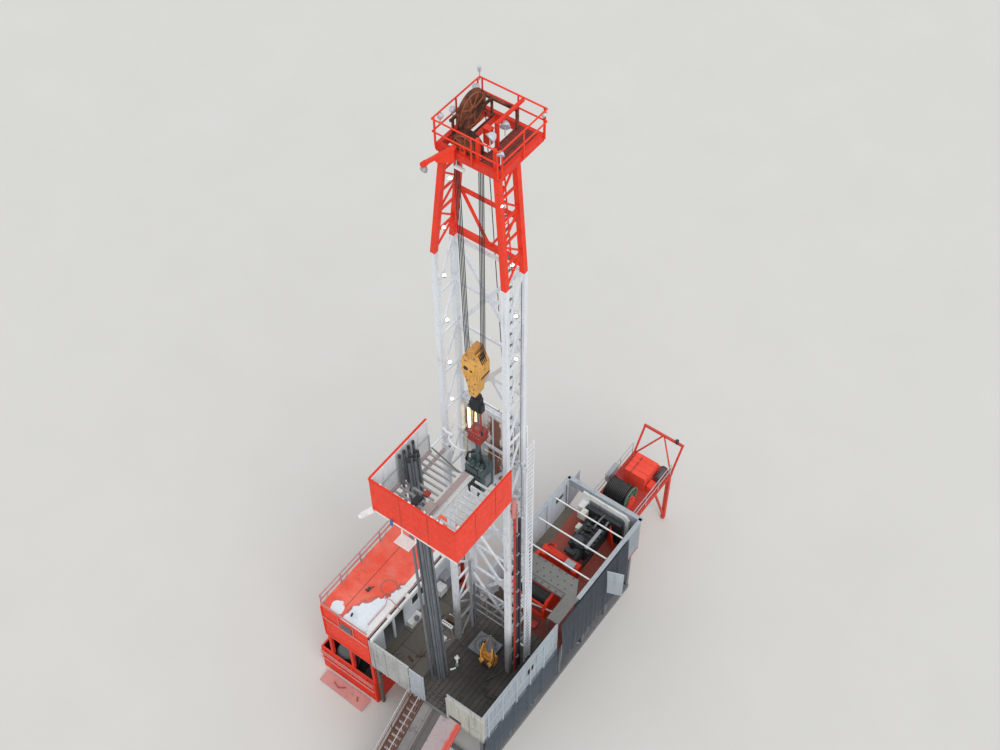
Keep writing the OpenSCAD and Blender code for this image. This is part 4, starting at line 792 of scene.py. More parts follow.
# Racking board's walls: top angles, lower line, seams and the posts inside
BOARD_SIDE, BOARD_TOP = 2.06, 22.40
k = Kit()
k.bar((-BOARD_SIDE, -5.20, BOARD_TOP), (BOARD_SIDE, -5.20, BOARD_TOP), 0.07, 0.03)
for x in (-BOARD_SIDE, BOARD_SIDE):
    k.bar((x, -5.16, BOARD_TOP), (x, -1.72, BOARD_TOP), 0.07, 0.03)
k.bar((-BOARD_SIDE, -5.205, 20.33), (BOARD_SIDE, -5.205, 20.33), 0.03, 0.07, 1)
for x in (-0.62, 0.72):
    k.box((x - 0.012, -5.197, 20.36), (x + 0.012, -5.19, 22.38), 2)
for y in (-2.75, -4.0):
    k.box((BOARD_SIDE, y - 0.012, 20.36), (BOARD_SIDE + 0.008, y + 0.012, 22.38), 2)
for x in (-2.0, -1.3, -0.62, 0.05, 0.72, 1.4, 2.0):
    k.box((x - 0.035, -5.13, 20.42), (x + 0.035, -5.09, 22.36), 1)
for y in (-4.45, -3.75, -3.05, -2.35, -1.8):
    for x in (-2.0, 1.96):
        k.box((x, y - 0.035, 20.42), (x + 0.04, y + 0.035, 22.36), 1)
k.make("board_trim", "crown_red clean_white deep_red", 0.004)

# Small things on the board: corner arm, blue plate, tray, clips on the top angle, inner handrail
k = Kit()
k.bar((-2.28, -5.62, 20.20), (-1.98, -5.22, 20.42), 0.20, 0.16)
k.tube([(-2.33, -5.69, 20.16), (-2.26, -5.60, 20.21)], 0.22, 0, 12)
k.box((-1.13, -5.28, 20.14), (-1.03, -5.20, 20.50), 1)
k.box((-0.58, -5.74, 20.02), (0.14, -5.24, 20.07))
for x in (-0.55, 0.11):
    k.leg(x, -5.26, 20.02, 20.36, 0.05)
for i, x in enumerate((-1.55, -0.2, 0.55, 0.85, 1.15, 1.3)):
    k.box((x, -5.16, 22.41), (x + 0.08 + 0.04 * (i % 2), -5.11, 22.46 + 0.02 * (i % 3)))
k.tube([(-1.90, -5.0, 21.5), (-1.90, -1.75, 21.5)], 0.035, 2, 8)
for y in (-4.9, -3.3, -1.8):
    k.post(-1.90, y, 20.42, 21.52, 0.035, 2, 8)
k.make("board_fittings", "clean_white blue galv", 0.008)

# Plates and tools that lie on the fingers
k = Kit()
k.box((-0.50, -4.78, 20.40), (-0.10, -3.60, 20.43))
k.box((-0.06, -5.05, 20.40), (0.34, -4.84, 20.62), 1)
k.box((0.14, -4.6, 20.39), (0.24, -2.0, 20.49), 2)
k.box((-0.98, -4.15, 20.40), (-0.72, -3.75, 20.58), 3)
k.box((-0.84, -3.6, 20.40), (-0.62, -3.35, 20.56), 4)
for i in range(5):
    x = -0.2 + 0.09 * i
    k.box((x, -5.02 + 0.05 * (i % 2), 20.62), (x + 0.06, -4.93, 20.72 + 0.03 * (i % 3)), 2 + i % 2)
k.make("board_tools", "faded steel clean_white black deep_red", 0.01)

# Stands between those of the source, and dark caps on stands; each leans by LEAN up to its slot
BOARD_SLOT = 20.3
LEAN = 0.5
SLOPE = LEAN / (BOARD_SLOT - FLOOR)


def stand(kit, x, y, top, cap_only=False):
    """A stand of pipe that leans left from the floor through the slot at x."""
    foot = (x + LEAN, y, FLOOR + 0.005)
    head = (x - SLOPE * (top - BOARD_SLOT), y, top)
    if not cap_only:
        kit.tube([foot, head], 0.12, 0, 12)
    kit.tube([head, (head[0] - 0.004, y, top + 0.12)], 0.125, 1, 12)


k = Kit()
for x, y in ((-1.452, -3.22), (-1.452, -3.50), (-1.452, -2.95), (-1.32, -3.30), (-1.32, -3.06)):
    stand(k, x, y, 22.0)
for x, y in ((-1.768, -3.635), (-1.768, -3.36), (-1.768, -3.085), (-1.768, -2.81),
             (-1.422, -3.36), (-1.422, -3.085)):
    stand(k, x, y, 22.2, True)
k.make("racked_pipe_more", "pipe black")

# Climbing ladder inside the right side of the mast, with a dark steel-grey strip above every other rung as a
# painted shadow
k = Kit()
for z0, z1, x0, x1, tone in ((20.6, 31.5, 1.30, 1.30, 0), (31.7, 36.2, 1.28, 0.98, 1)):
    for y in (-0.95, -0.55):
        k.tube([(x0 - 0.03, y, z0), (x1 - 0.03, y, z1)], 0.05, tone, 8)
    n = int((z1 - z0) / 0.30)
    for i in range(1, n):
        x = x0 + (x1 - x0) * i / n - 0.03
        z = z0 + (z1 - z0) * i / n
        k.tube([(x, -0.95, z), (x, -0.55, z)], 0.035, tone, 6)
        # Painted shadow: a thin dark steel-grey strip just above the rung
        if i % 2:
            k.box((x - 0.05, -0.90, z + 0.02), (x + 0.03, -0.60, z + 0.035), 2)
k.make("mast_climb_ladder", "white red steel")

# Fork arms from the left leg over the board, white with a steel reach
k = Kit()
k.tube([(-1.55, -1.28, 21.3), (-1.5, -1.7, 21.5), (-1.49, -2.2, 21.5)], 0.11)
k.tube([(-1.48, -2.18, 21.5), (-0.9, -2.25, 21.42), (-0.35, -2.32, 21.35), (0.0, -2.36, 21.3)], 0.07, 1, 8)
k.tube([(-1.25, -1.30, 21.6), (-1.05, -1.62, 21.75), (-0.75, -1.72, 21.72), (-0.5, -1.6, 21.5),
        (-0.42, -1.42, 21.3)], 0.10)
k.box((-1.62, -1.35, 21.15), (-1.45, -1.25, 21.7))
k.box((-1.45, -1.38, 21.5), (-1.10, -1.26, 21.68))
k.make("board_fork_arms", "white steel")

# Braces, rails and tubes between the back legs at the mast's foot
k = Kit()
for p, q, d, tone in [
        ((-1.45, 0.02, 9.0), (0.95, 0.02, 5.9), 0.15, 0), ((1.28, 0.02, 9.6), (-0.15, 0.02, 7.1), 0.12, 0),
        ((-1.05, 0.12, 6.9), (-0.10, 0.12, 8.6), 0.09, 1), ((-0.40, 0.10, 6.1), (0.30, 0.10, 7.5), 0.12, 0)]:
    k.tube([p, q], d, tone)
for z, d, tone in ((7.9, 0.10, 0), (6.9, 0.10, 0), (6.1, 0.08, 0), (5.5, 0.06, 1)):
    k.tube([(-1.45, 0.05, z), (1.28, 0.05, z)], d, tone)
k.post(-0.75, 0.05, 5.5, 7.9, 0.07)
k.post(0.20, 0.05, 5.5, 6.9, 0.06, 1)
k.tube([(-1.40, -0.28, 4.24), (-1.40, -0.28, 9.5), (-1.42, -0.25, 10.4)], 0.13, 1, 12)
k.post(-1.18, -0.30, 4.24, 8.7, 0.09, 2, 12)
k.make("mast_foot_bracing", "white_low galv steel")

# White box sleeves over the bracing between the mast's back legs
HALF, MID = 1.385, -0.09
k = Kit()
for z1, z2, y1, y2, panels, tone in ((22.64, 31.51, -0.11, -0.11, 2, 0), (6.85, 20.31, 0.358, -0.11, 3, 1)):
    steps = [i / 2 / panels for i in range(2 * panels + 1)]
    levels = [(y1 + (y2 - y1) * t, z1 + (z2 - z1) * t) for t in steps]
    for y, z in levels:
        k.bar((MID - HALF, y, z), (MID + HALF, y, z), 0.11, 0.12, tone)
    for i in range(0, 2 * panels, 2):
        for s in (-1, 1):
            low, high = (MID - s * HALF, *levels[i]), (MID + s * HALF, *levels[i + 2])
            k.bar(low, high, 0.10 + 0.004 * s, 0.15, tone)
        y, z = levels[i + 1]
        k.box((MID - 0.24, y - 0.06, z - 0.24), (MID + 0.24, y + 0.06, z + 0.24), tone)
k.make("mast_back_sleeves", "white white_low", 0.01)

# Pins and joint plates where the mast's sections meet
k = Kit()
for y in (-1.15, -0.11):
    for x in (-1.57, 1.40):
        for z in (20.15, 20.65):
            k.box((x - 0.145, y - 0.145, z - 0.16), (x + 0.145, y + 0.145, z + 0.02))
        k.tube([(x - 0.19, y, 20.45), (x + 0.19, y, 20.45)], 0.09, 1, 12)
for x in (-1.57, 1.40):
    k.box((x - 0.125, -1.275, 31.52), (x + 0.125, -1.025, 31.60))
k.make("mast_joint_plates", "white steel", 0.008)

# Pipes and cables up the mast's right side, on their clips
k = Kit()
for z in np.arange(5.4, 19.8, 1.55):
    k.box((1.54, -0.88, z), (1.72, -0.70, z + 0.06))
k.tube([(1.62, -0.60, 4.3), (1.62, -0.60, 12), (1.61, -0.60, 17.2)], 0.15, 1)
k.tube([(1.66, -0.98, 4.3), (1.66, -0.98, 17.8), (1.56, -1.08, 18.4)], 0.10, 2)
k.tube([(1.585, -0.42, 4.3), (1.585, -0.42, 20.3), (1.535, -0.42, 20.9), (1.535, -0.42, 31.4)], 0.03, 3, 8)
k.tube([(1.60, -0.98, 17.8), (1.62, -1.0, 18.5), (1.62, -0.95, 19.1)], 0.20, 4, 12)
for z in np.arange(6, 31, 2.5):
    k.box((1.50, -0.53, z), (1.60, -0.47, z + 0.05))
k.make("mast_cables", "galv rubber deep_red steel pink")

# Travelling block's housing: two cheeks that taper to a neck above the hook, with what joins them.
# Each side lists heights and half widths from the foot up.
BLOCK_FRONT, BLOCK_BACK, CHEEK = -1.10, -0.54, 0.045
BLOCK_SIDE = [(24.60, 0.15), (25.15, 0.19), (25.85, 0.44), (26.55, 0.432), (27.20, 0.135)]
NECK_SIDE = [(24.60, 0.15), (25.15, 0.19), (25.40, 0.26)]
TOP_SIDE = [(26.61, 0.144), (27.18, 0.144), (27.20, 0.135)]
TAPER = [(25.36, 0.245), (25.84, 0.43), (25.84, 0.385), (25.36, 0.205)]


def block_plate(kit, side, front, back):
    """A plate across the block."""
    outline = [(WELL_X + w, front, z) for z, w in side]
    outline += [(WELL_X - w, front, z) for z, w in reversed(side)]
    kit.slab(outline, (0, back - front, 0))


def side_box(kit, s, outer, inner, inset, z0, z1, tone=0):
    """A box on one side of the block, given by its distances from the middle."""
    x0, x1 = sorted((WELL_X + s * outer, WELL_X + s * inner))
    kit.box((x0, BLOCK_FRONT + inset, z0), (x1, BLOCK_BACK - inset, z1), tone)


k = Kit()
block_plate(k, BLOCK_SIDE, BLOCK_FRONT, BLOCK_FRONT + CHEEK)
block_plate(k, BLOCK_SIDE, BLOCK_BACK - CHEEK, BLOCK_BACK)
for side in (NECK_SIDE, TOP_SIDE):
    block_plate(k, side, BLOCK_FRONT + CHEEK, BLOCK_BACK - CHEEK)
for s in (-1, 1):
    taper = [(WELL_X + s * w, BLOCK_FRONT + 0.004, z) for z, w in TAPER]
    outline = taper if s < 0 else taper[::-1]
    k.slab(outline, (0, BLOCK_BACK - BLOCK_FRONT - 0.008, 0))
    side_box(k, s, 0.434, 0.404, 0.02, 25.94, 26.46)
    side_box(k, s, 0.452, 0.36, 0.01, 25.86, 25.91, 1)
housing = k.make("block_housing", "block rust", 0.006, "block")
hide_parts("travelling_block")

# Travelling block's slatted guards on the upper slopes, front plate, round cover and bolts
k = Kit()
for s in (-1, 1):
    out = Vector((0.91 * s, 0, 0.414))

    def on_slope(t, y, lift):
        return Vector((WELL_X + s * (0.445 - 0.255 * t), y, 26.50 + 0.56 * t)) + out * lift

    def slope_plate(t0, t1, y0, y1, lift, thick, tone):
        corners = ((t0, y0), (t0, y1), (t1, y1), (t1, y0))
        k.slab([on_slope(t, y, lift) for t, y in corners], out * thick, tone)

    slope_plate(0, 1, -1.09, -0.55, 0, 0.012, 3)
    for i in range(4):
        y = -0.965 + 0.08 * i
        slope_plate(0.12, 0.88, y, y + 0.05, 0.013, 0.004, 1)
k.box((-0.44, -1.112, 25.70), (0.0, -1.10, 25.94), 3)
k.tube([(-0.46, -1.10, 26.10), (-0.46, -1.118, 26.10)], 0.20, 1, 20)
for z, out in ((24.82, 0.09), (25.10, 0.11), (25.45, 0.17), (26.55, 0.23), (26.9, 0.18)):
    for x in (WELL_X - out, WELL_X + out):
        k.tube([(x, -1.13, z), (x, -1.10, z)], 0.06, 2, 8)
k.make("block_guard", "steel black steel yellow", 0.003, "block")

# Top drive: motor fins, pipes, hose nipples, the cream gooseneck cover and the red head's flanges
k = Kit()
for i in range(6):
    x = -0.60 + 0.13 * i
    k.box((x, -1.235, 18.75), (x + 0.07, -1.20, 19.62), 1)
for z in (18.65, 19.05, 19.45):
    k.box((-0.66, -1.24, z), (0.22, -1.20, z + 0.06))
for x, y in ((-0.52, -1.08), (-0.36, -1.12), (-0.10, -1.10), (0.08, -1.08)):
    k.tube([(x, y, 19.85), (x, y, 20.15), (x + 0.06, y + 0.05, 20.3)], 0.12, 0, 12)
    k.post(x, y, 20.02, 20.08, 0.17, 2, 12)
k.tube([(-0.42, -1.18, 20.0), (-0.25, -1.28, 20.15), (-0.05, -1.20, 20.0), (0.0, -1.18, 19.7)], 0.07, 1)
k.tube([(0.12, -0.95, 19.9), (0.24, -1.02, 20.3), (0.05, -1.0, 20.75), (-0.08, -0.92, 20.9)], 0.08, 1)
k.tube([(-0.62, -0.95, 19.6), (-0.74, -0.98, 20.0), (-0.62, -0.96, 20.5), (-0.36, -0.92, 20.7)], 0.09, 3)
k.tube([(-0.70, -0.76, 21.55), (-0.86, -0.76, 21.2), (-0.90, -0.76, 20.5), (-0.84, -0.80, 19.9),
        (-0.72, -0.86, 19.5)], 0.15, 4, 12)
k.box((-0.72, -1.10, 19.05), (-0.63, -0.75, 19.55), 2)
k.box((0.20, -1.05, 18.9), (0.28, -0.70, 19.5), 2)
k.tube([(0.02, -1.22, 18.9), (0.12, -1.27, 18.6), (0.02, -1.22, 18.35)], 0.08, 1)
for s in (-1, 1):
    k.bar((WELL_X + s * 0.26, -1.23, 18.70), (WELL_X + s * 0.20, -1.22, 18.10), 0.06, 0.05, 1)
for z in (21.70, 21.93, 22.12):
    k.box((-0.545, -1.095, z), (0.105, -0.545, z + 0.035), 5)
for i in range(5):
    x = -0.48 + 0.12 * i
    k.box((x, -1.092, 21.62), (x + 0.035, -1.068, 22.18), 5)
    k.tube([(x + 0.02, -1.12, 22.04), (x + 0.02, -1.09, 22.04)], 0.045, 2, 8)
k.post(WELL_X, WELL_Y, 22.18, 22.30, [0.46, 0.34], 5, 20)
k.post(0.08, -0.95, 22.18, 22.36, 0.09, 1)
k.post(WELL_X, WELL_Y, 21.35, 21.62, [0.30, 0.44], 5, 20)
k.make("top_drive_fittings", "green black galv rubber cream deep_red", 0.006, "block")


# Spokes and hub plates on the fast sheave and on the front crown sheave
def spokes(name, body, centre, axis, d, off, n):
    """Both faces of a sheave of diameter d, each off from its middle, with n spokes."""
    kit = Kit()
    a = Vector(axis)
    u = a.orthogonal().normalized()
    w = a.cross(u)
    for s in (-1, 1):
        at = Vector(centre) + a * off * s
        kit.ring(at, axis, d * 0.84, 0.05, 1, 40, 6)
        kit.tube([at - a * 0.02 * s, at + a * 0.035 * s], d * 0.26, 1, 24)
        kit.tube([at + a * 0.035 * s, at + a * 0.06 * s], d * 0.12, 0, 18)
        for i in range(n):
            t = 2 * math.pi * (i + 0.3) / n
            out = u * math.cos(t) + w * math.sin(t)
            kit.bar(at + out * d * 0.12, at + out * d * 0.42, 0.07, 0.03, 1, a)
    kit.make(name, "rust hot_rust", 0.004, body)


spokes("fast_sheave_spokes", "fast_sheave", (-0.75, 0.0527, 37.37), (1, 0, 0), 1.4, 0.052, 8)
spokes("crown_sheave_spokes", "crown_sheaves", (WELL_X, WELL_Y, 36.85), (0, 1, 0), 1.0, 0.158, 6)

# Floor: rings around the well, slips, hoses, mats and small tools
k = Kit()
k.ring((WELL_X, WELL_Y, 4.45), (0, 0, 1), 0.62, 0.07)
k.ring((WELL_X, WELL_Y, 4.43), (0, 0, 1), 1.08, 0.05)
k.box((-1.45, -3.75, FLOOR), (-0.75, -3.0, 4.26), 1)
k.tube([(-0.95, -2.15, 4.26), (-0.8, -2.3, 4.30), (-0.7, -2.6, 4.28), (-0.85, -2.8, 4.26)], 0.10, 2)
k.tube([(-1.0, -2.2, 4.28), (-0.92, -2.05, 4.36)], [0.2, 0.24], 2, 12)
k.tube([(-0.72, -2.5, 4.26), (-0.66, -2.5, 4.5)], 0.16, 3, 12)
k.tube([(0.85, -2.3, 4.24), (1.1, -1.7, 4.26), (1.25, -1.2, 4.24), (1.15, -0.3, 4.24)], 0.07, 4, 8)
k.tube([(1.0, -2.6, 4.24), (1.35, -2.9, 4.24), (1.9, -2.7, 4.24), (2.2, -2.0, 4.24)], 0.06, 4, 8)
k.box((-1.1, -4.45, FLOOR), (0.1, -4.35, 4.27), 1)
k.box((-0.95, -4.2, FLOOR), (0.45, -4.10, 4.25), 1)
k.make("floor_tools", "pipe floor clean_white reel_green rubber")

# Floor tool by the well: grey cone, arms, rollers and hoses
k = Kit()
k.tube([(0.54, -1.34, 5.72), (0.54, -1.34, 6.10), (0.54, -1.34, 7.05)], [0.46, 0.40, 0.06], 3, 18)
for s in (-1, 1):
    k.tube([(0.44 + s * 0.27, -1.68, 4.9), (0.44 + s * 0.33, -1.60, 5.5), (0.46 + s * 0.25, -1.48, 6.1)],
           0.08, 1)
    k.tube([(0.42 + s * 0.24, -1.72, 4.75), (0.42 + s * 0.24, -1.60, 4.75)], 0.24, 1, 14)
    k.tube([(0.46 + s * 0.34, -1.46, 5.9), (0.44 + s * 0.42, -1.52, 5.2), (0.42 + s * 0.38, -1.60, 4.6)],
           0.045, 2, 8)
k.box((0.22, -1.70, 4.30), (0.62, -1.62, 4.70), 2)
k.make("roughneck_arms", "galv yellow black steel", 0.004)

# Side deck: instrument rack, cabinets, coiled line, loose bars and odds and ends
k = Kit()
k.box((-2.55, -1.32, 4.86), (-1.90, -1.14, 4.98))
for x in (-2.50, -1.95):
    k.leg(x, -1.23, FLOOR, 4.90, 0.05, 1)
for i in range(5):
    x = -2.50 + 0.115 * i
    k.box((x, -1.26, 4.98), (x + 0.07, -1.20, 4.995), 2)
k.box((-4.05, -2.15, FLOOR), (-3.72, -1.35, 4.62))
k.tube([(-3.72, -1.75, 4.70), (-3.70, -1.75, 4.72)], 0.30, 3, 14)
k.box((-3.98, -0.08, 4.55), (-3.50, 0.42, 5.10))
for x in (-3.95, -3.53):
    for y in (-0.05, 0.38):
        k.leg(x, y, FLOOR, 4.58, 0.05, 1)
k.box((-4.06, 0.48, FLOOR), (-3.62, 1.00, 5.30), 1)
k.ring((-3.37, -3.62, 4.24), (0, 0, 1), 0.24, 0.09, 3)
k.post(-3.37, -3.62, FLOOR, 4.26, 0.5, 4, 18)
for x0, y0, x1, y1, z, d, tone in [
        (-2.95, -1.35, -2.3, -0.2, 4.25, 0.06, 3), (-2.75, -1.45, -2.1, -0.4, 4.25, 0.06, 3),
        (-3.1, -1.6, -2.9, -0.6, 4.24, 0.05, 5), (-2.2, -2.2, -1.85, -1.5, 4.25, 0.05, 1),
        (-2.6, -3.2, -2.3, -2.9, 4.24, 0.09, 5), (-2.9, -3.4, -2.6, -3.5, 4.24, 0.11, 5)]:
    k.tube([(x0, y0, z), (x1, y1, z)], d, tone, 8)
k.box((-2.6, -0.8, FLOOR), (-2.2, -0.5, 4.42), 5)
k.box((-2.32, -1.8, FLOOR), (-2.0, -1.55, 4.36))
k.box((-2.12, 0.1, FLOOR), (-1.80, 0.55, 4.60), 3)
for i in range(18):
    x, y = -2.85 + 1.05 * (0.618 * i % 1.0), -1.25 + 1.55 * ((0.37 * i + 0.2) % 1.0)
    z = 4.27 + 0.04 * (i % 4)
    far = (x + 0.36 * math.cos(2.4 * i), y + 0.36 * math.sin(2.4 * i), z + 0.03 * (i % 3))
    k.tube([(x, y, z), far], 0.05 + 0.02 * (i % 3), (1, 0, 2, 3)[i % 4], 8)
k.make("deck_gear", "clean_white galv black steel deck rust", 0.01)

# Doghouse: handrail along the left eave and a low rail along the front
EAVE_X, FRONT_Y, BACK_Y = -6.94, -4.74, 2.54
k = Kit()
for z in (7.42, 7.86):
    k.tube([(EAVE_X, FRONT_Y, z), (EAVE_X, BACK_Y, z)], 0.06)
for y in np.linspace(FRONT_Y, BACK_Y, 6):
    k.post(EAVE_X, y, 6.92, 7.86, 0.055)
    k.tube([(EAVE_X + 0.05, y, 6.96), (EAVE_X + 0.05, y + 0.45, 7.40)], 0.035, 0, 8)
for z in (7.06, 7.18):
    k.tube([(EAVE_X, -4.77, z), (-4.14, -4.77, z)], 0.045, 1)
for x in (-6.9, -6.0, -5.1, -4.2):
    k.post(x, -4.77, 6.92, 7.18, 0.04, 1, 8)
k.make("doghouse_rails", "galv pink")

# Doghouse: fascia boards along the right eave with a black strip as painted shade in the gap between two of
# them, hose and small fittings on the roof
k = Kit()
k.box((-4.40, -4.79, 6.90), (-4.10, 2.59, 7.035))
# Painted shade: a black strip low in the gap between the two white boards
k.box((-4.10, -4.79, 6.72), (-3.95, 2.59, 6.78), 1)
k.box((-3.95, -4.79, 6.70), (-3.83, 2.59, 6.94))
for y in (-3.45, -2.05, -0.65, 0.75, 2.0):
    k.box((-4.10, y, 6.86), (-3.94, y + 0.22, 6.95))
k.tube([(-4.46, -4.3, 7.04), (-4.44, -3.0, 7.08), (-4.42, -2.85, 7.5), (-4.25, -2.80, 7.45),
        (-3.80, -2.75, 6.98)], 0.045, 3, 8)
k.tube([(-4.20, -4.70, 6.98), (-4.20, -4.70, 7.42), (-4.45, -4.66, 7.52)], 0.05, 0, 8)
k.tube([(-5.40, -4.40, 7.02), (-5.36, -4.34, 7.22)], 0.10, 1)
k.post(-5.20, -4.30, 7.02, 7.14, 0.12)
k.box((-5.70, -2.95, 7.02), (-5.58, -2.70, 7.09), 1)
k.tube([(-5.75, -2.95, 7.07), (-5.50, -2.55, 7.07)], 0.05, 1, 8)
k.make("doghouse_fascia", "clean_white black deep_red pink", 0.008)

# Doghouse window in the right wall: dark glass, frame and middle bar
k = Kit()
k.box((-4.17, -1.62, 5.40), (-4.07, -0.62, 6.12), 1)
k.frame(-4.07, -1.62, -0.62, 5.40, 6.12, 0.05)
k.box((-4.09, -1.14, 5.40), (-4.06, -1.10, 6.12))
k.make("doghouse_window", "clean_white window", 0.004)

# Front of the doghouse: dark vent plate, pipes, corner posts, sill
k = Kit()
k.box((-5.75, -4.87, 6.10), (-5.10, -4.80, 6.55), 1)
for i in range(4):
    k.box((-5.72, -4.885, 6.14 + i * 0.10), (-5.13, -4.87, 6.18 + i * 0.10), 1)
k.tube([(-7.0, -4.84, 5.95), (-4.15, -4.84, 5.95)], 0.06, 2)
for x in (-5.9, -5.0):
    k.post(x, -4.84, 6.9, 6.0, 0.045, 2, 8)
for x in (-6.97, -4.13):
    k.leg(x, -4.82, 4.2, 6.9, 0.06)
k.bar((-6.97, -4.82, 4.26), (-4.13, -4.82, 4.26), 0.06, 0.08)
k.make("doghouse_front", "red steel pink", 0.006)

# Skid box: tank, box and hose inside
k = Kit()
k.post(-6.60, -4.02, 0.35, 1.62, 1.05, 1, 28)
k.post(-6.60, -4.02, 1.62, 1.70, [1.05, 0.85], 1, 28)
k.box((-5.3, -4.4, 0.30), (-4.6, -3.4, 1.15), 2)
k.tube([(-5.9, -4.3, 0.3), (-5.75, -4.1, 1.6), (-5.7, -3.9, 2.3)], 0.04, 1, 8)
k.make("skid_tank", "red steel black")

# Skid box: pipes and straps on its face, step plate with two hooks
k = Kit()
for z in (1.95, 1.72, 1.28):
    k.tube([(-7.6, -4.93, z), (-4.16, -4.93, z)], 0.06)
for x in (-7.4, -6.5, -5.6, -4.7):
    k.box((x - 0.04, -4.93, 1.2), (x + 0.04, -4.80, 2.0), 1)
k.leg(-4.10, -4.86, 0.2, 2.1, 0.08, 1)
k.slab([(-7.30, -5.62, 0.03), (-4.45, -5.72, 0.03), (-4.45, -4.98, 0.07), (-7.30, -4.98, 0.07)],
       (0, 0, 0.05), 2)
k.tube([(-6.6, -5.3, 0.14), (-6.2, -5.45, 0.15), (-5.9, -5.2, 0.14)], 0.05, 3, 8)
k.tube([(-5.1, -5.25, 0.14), (-4.95, -5.45, 0.15)], 0.06, 3, 8)
k.make("skid_front", "pink red pink deep_red", 0.006)

# V-door: sill, two clips and the post beside the gate
k = Kit()
for x in (-1.40, -1.10):
    k.box((x, -4.84, FLOOR), (x + 0.04, -4.80, 4.35))
k.box((-0.86, -4.86, FLOOR), (0.55, -4.74, 4.265), 1)
k.box((-0.90, -4.80, FLOOR), (-0.82, -4.72, 6.60))
k.make("vdoor_sill", "panel steel", 0.006)

# Windwalls: stiffeners outside, top caps, the port with its frames inside and outside and a near-black plate
# in it as painted shade, a clip
k = Kit()
for y in np.arange(-4.4, 1.1, 1.1):
    k.box((2.66, y - 0.04, 4.12), (2.70, y + 0.04, 6.68))
for z in (4.2, 5.4, 6.6):
    k.box((2.66, -4.7, z - 0.03), (2.69, 1.1, z + 0.03))
k.bar((2.63, -4.75, WALL_TOP), (2.63, 1.10, WALL_TOP), 0.09, 0.04, 1)
k.bar((0.60, -4.80, WALL_TOP), (2.60, -4.80, WALL_TOP), 0.04, 0.09, 1)
k.frame(2.58, -1.22, -0.90, 5.35, 5.66, 0.04)
for x in np.arange(-3.9, -1.8, 0.75):
    k.box((x, -4.85, 4.12), (x + 0.06, -4.81, 6.68), 2)
k.bar((-4.06, -4.78, WALL_TOP), (-1.66, -4.78, WALL_TOP), 0.09, 0.04, 2)
k.box((-2.55, -4.75, 5.75), (-2.45, -4.73, 6.0), 3)
# Painted shade: a near-black plate fills the port
k.box((2.655, -1.36, 5.42), (2.672, -0.86, 6.00), 4)
k.frame(2.675, -1.38, -0.84, 5.40, 6.02, 0.04, 0, 0.02)
k.make("windwall_stiffeners", "panel pale_blue wall_left steel dark", 0.004)

# Engine house: wall caps, window, ribs and a pipe in the corner
k = Kit()
k.bar((-1.70, 1.55, WALL_TOP), (-1.70, 8.42, WALL_TOP), 0.20, 0.05)
k.bar((2.63, 2.85, WALL_TOP), (2.63, 8.42, WALL_TOP), 0.22, 0.05)
k.bar((-1.75, 8.38, WALL_TOP), (2.70, 8.38, WALL_TOP), 0.05, 0.24, 0, (0, 1, 0))
k.box((-1.655, 7.15, 5.75), (-1.635, 7.80, 6.12), 1)
for z in (5.75, 6.12):
    k.bar((-1.63, 7.15, z), (-1.63, 7.80, z), 0.04, tone=2)
for y in (2.9, 4.6, 6.3):
    k.box((-1.65, y, 4.22), (-1.61, y + 0.06, 6.66), 2)
k.post(-1.58, 8.0, 4.3, 6.5, 0.05, 3, 8)
k.make("house_trim", "pale_blue window panel steel", 0.006)

# Engine: air cleaner, cylinder covers with their pipes, manifolds to the radiator, boxes beside it
k = Kit()
k.post(0.55, 5.95, 5.97, 6.05, 0.62, 0, 24)
k.post(0.55, 5.95, 6.05, 6.10, [0.62, 0.5], 0, 24)
k.tube([(0.30, 6.9, 5.9), (0.28, 6.2, 6.0), (0.4, 5.95, 6.0)], 0.16, 0, 12)
for i in range(6):
    y = 5.75 + i * 0.30
    for x in (0.30, 1.10):
        k.box((x, y, 5.78), (x + 0.22, y + 0.20, 5.95), 1)
    k.tube([(0.52, y + 0.1, 5.9), (0.80, y + 0.1, 5.98), (1.10, y + 0.1, 5.9)], 0.06, 0, 8)
k.box((1.05, 5.75, 5.94), (1.22, 7.10, 6.02), 2)
k.tube([(0.45, 7.3, 5.7), (0.45, 7.8, 5.75), (0.45, 7.95, 5.6)], 0.14)
k.tube([(1.15, 7.2, 5.7), (1.15, 7.7, 5.9), (1.15, 7.95, 5.7)], 0.14, 3)
k.tube([(0.75, 7.0, 5.9), (0.80, 7.5, 6.1), (0.80, 7.95, 5.95)], 0.10, 3)
k.box((-0.10, 6.6, 5.35), (0.16, 6.95, 5.75), 4)
k.box((-0.35, 7.4, 5.3), (-0.05, 7.75, 5.9), 4)
k.box((0.1, 5.35, 5.2), (0.7, 5.6, 5.45))
k.make("engine_fittings", "engine black galv steel cream", 0.01)

# Drawworks: side plates, boxes, hose, bolts, bars in front and feet
k = Kit()
near, top = (1.25, 7.62, 4.35), (1.48, 7.50, 5.55)
k.slab([near, (1.85, 7.30, 4.35), top], (0.03, 0.06, 0))
k.slab([near, top, (1.10, 7.95, 5.60)], (0.03, 0.06, 0))
k.box((-0.9, 4.10, 5.45), (-0.72, 4.60, 5.60))
k.box((0.62, 4.55, 5.46), (1.15, 4.95, 5.66), 1)
k.bar((-0.80, 5.45, 5.0), (-0.35, 5.3, 5.45), 0.10)
k.tube([(-0.9, 5.3, 4.9), (-0.6, 5.35, 5.3), (-0.5, 5.3, 5.5)], 0.08, 2, 8)
for x in (-0.85, -0.25, 0.35, 0.95):
    k.post(x, 4.05, 5.47, 5.52, 0.10, 2, 8)
k.bar((0.3, 2.08, 5.02), (1.6, 2.34, 5.02), 0.07, 0.05, 3)
k.bar((-0.95, 2.18, 5.30), (1.15, 2.18, 5.30), 0.10)
for x in (-0.8, 0.0, 0.8):
    k.box((x, 1.35, FLOOR), (x + 0.35, 1.75, 4.34), 2)
k.make("drawworks_fittings", "red pale_blue deep_red clean_white", 0.008)

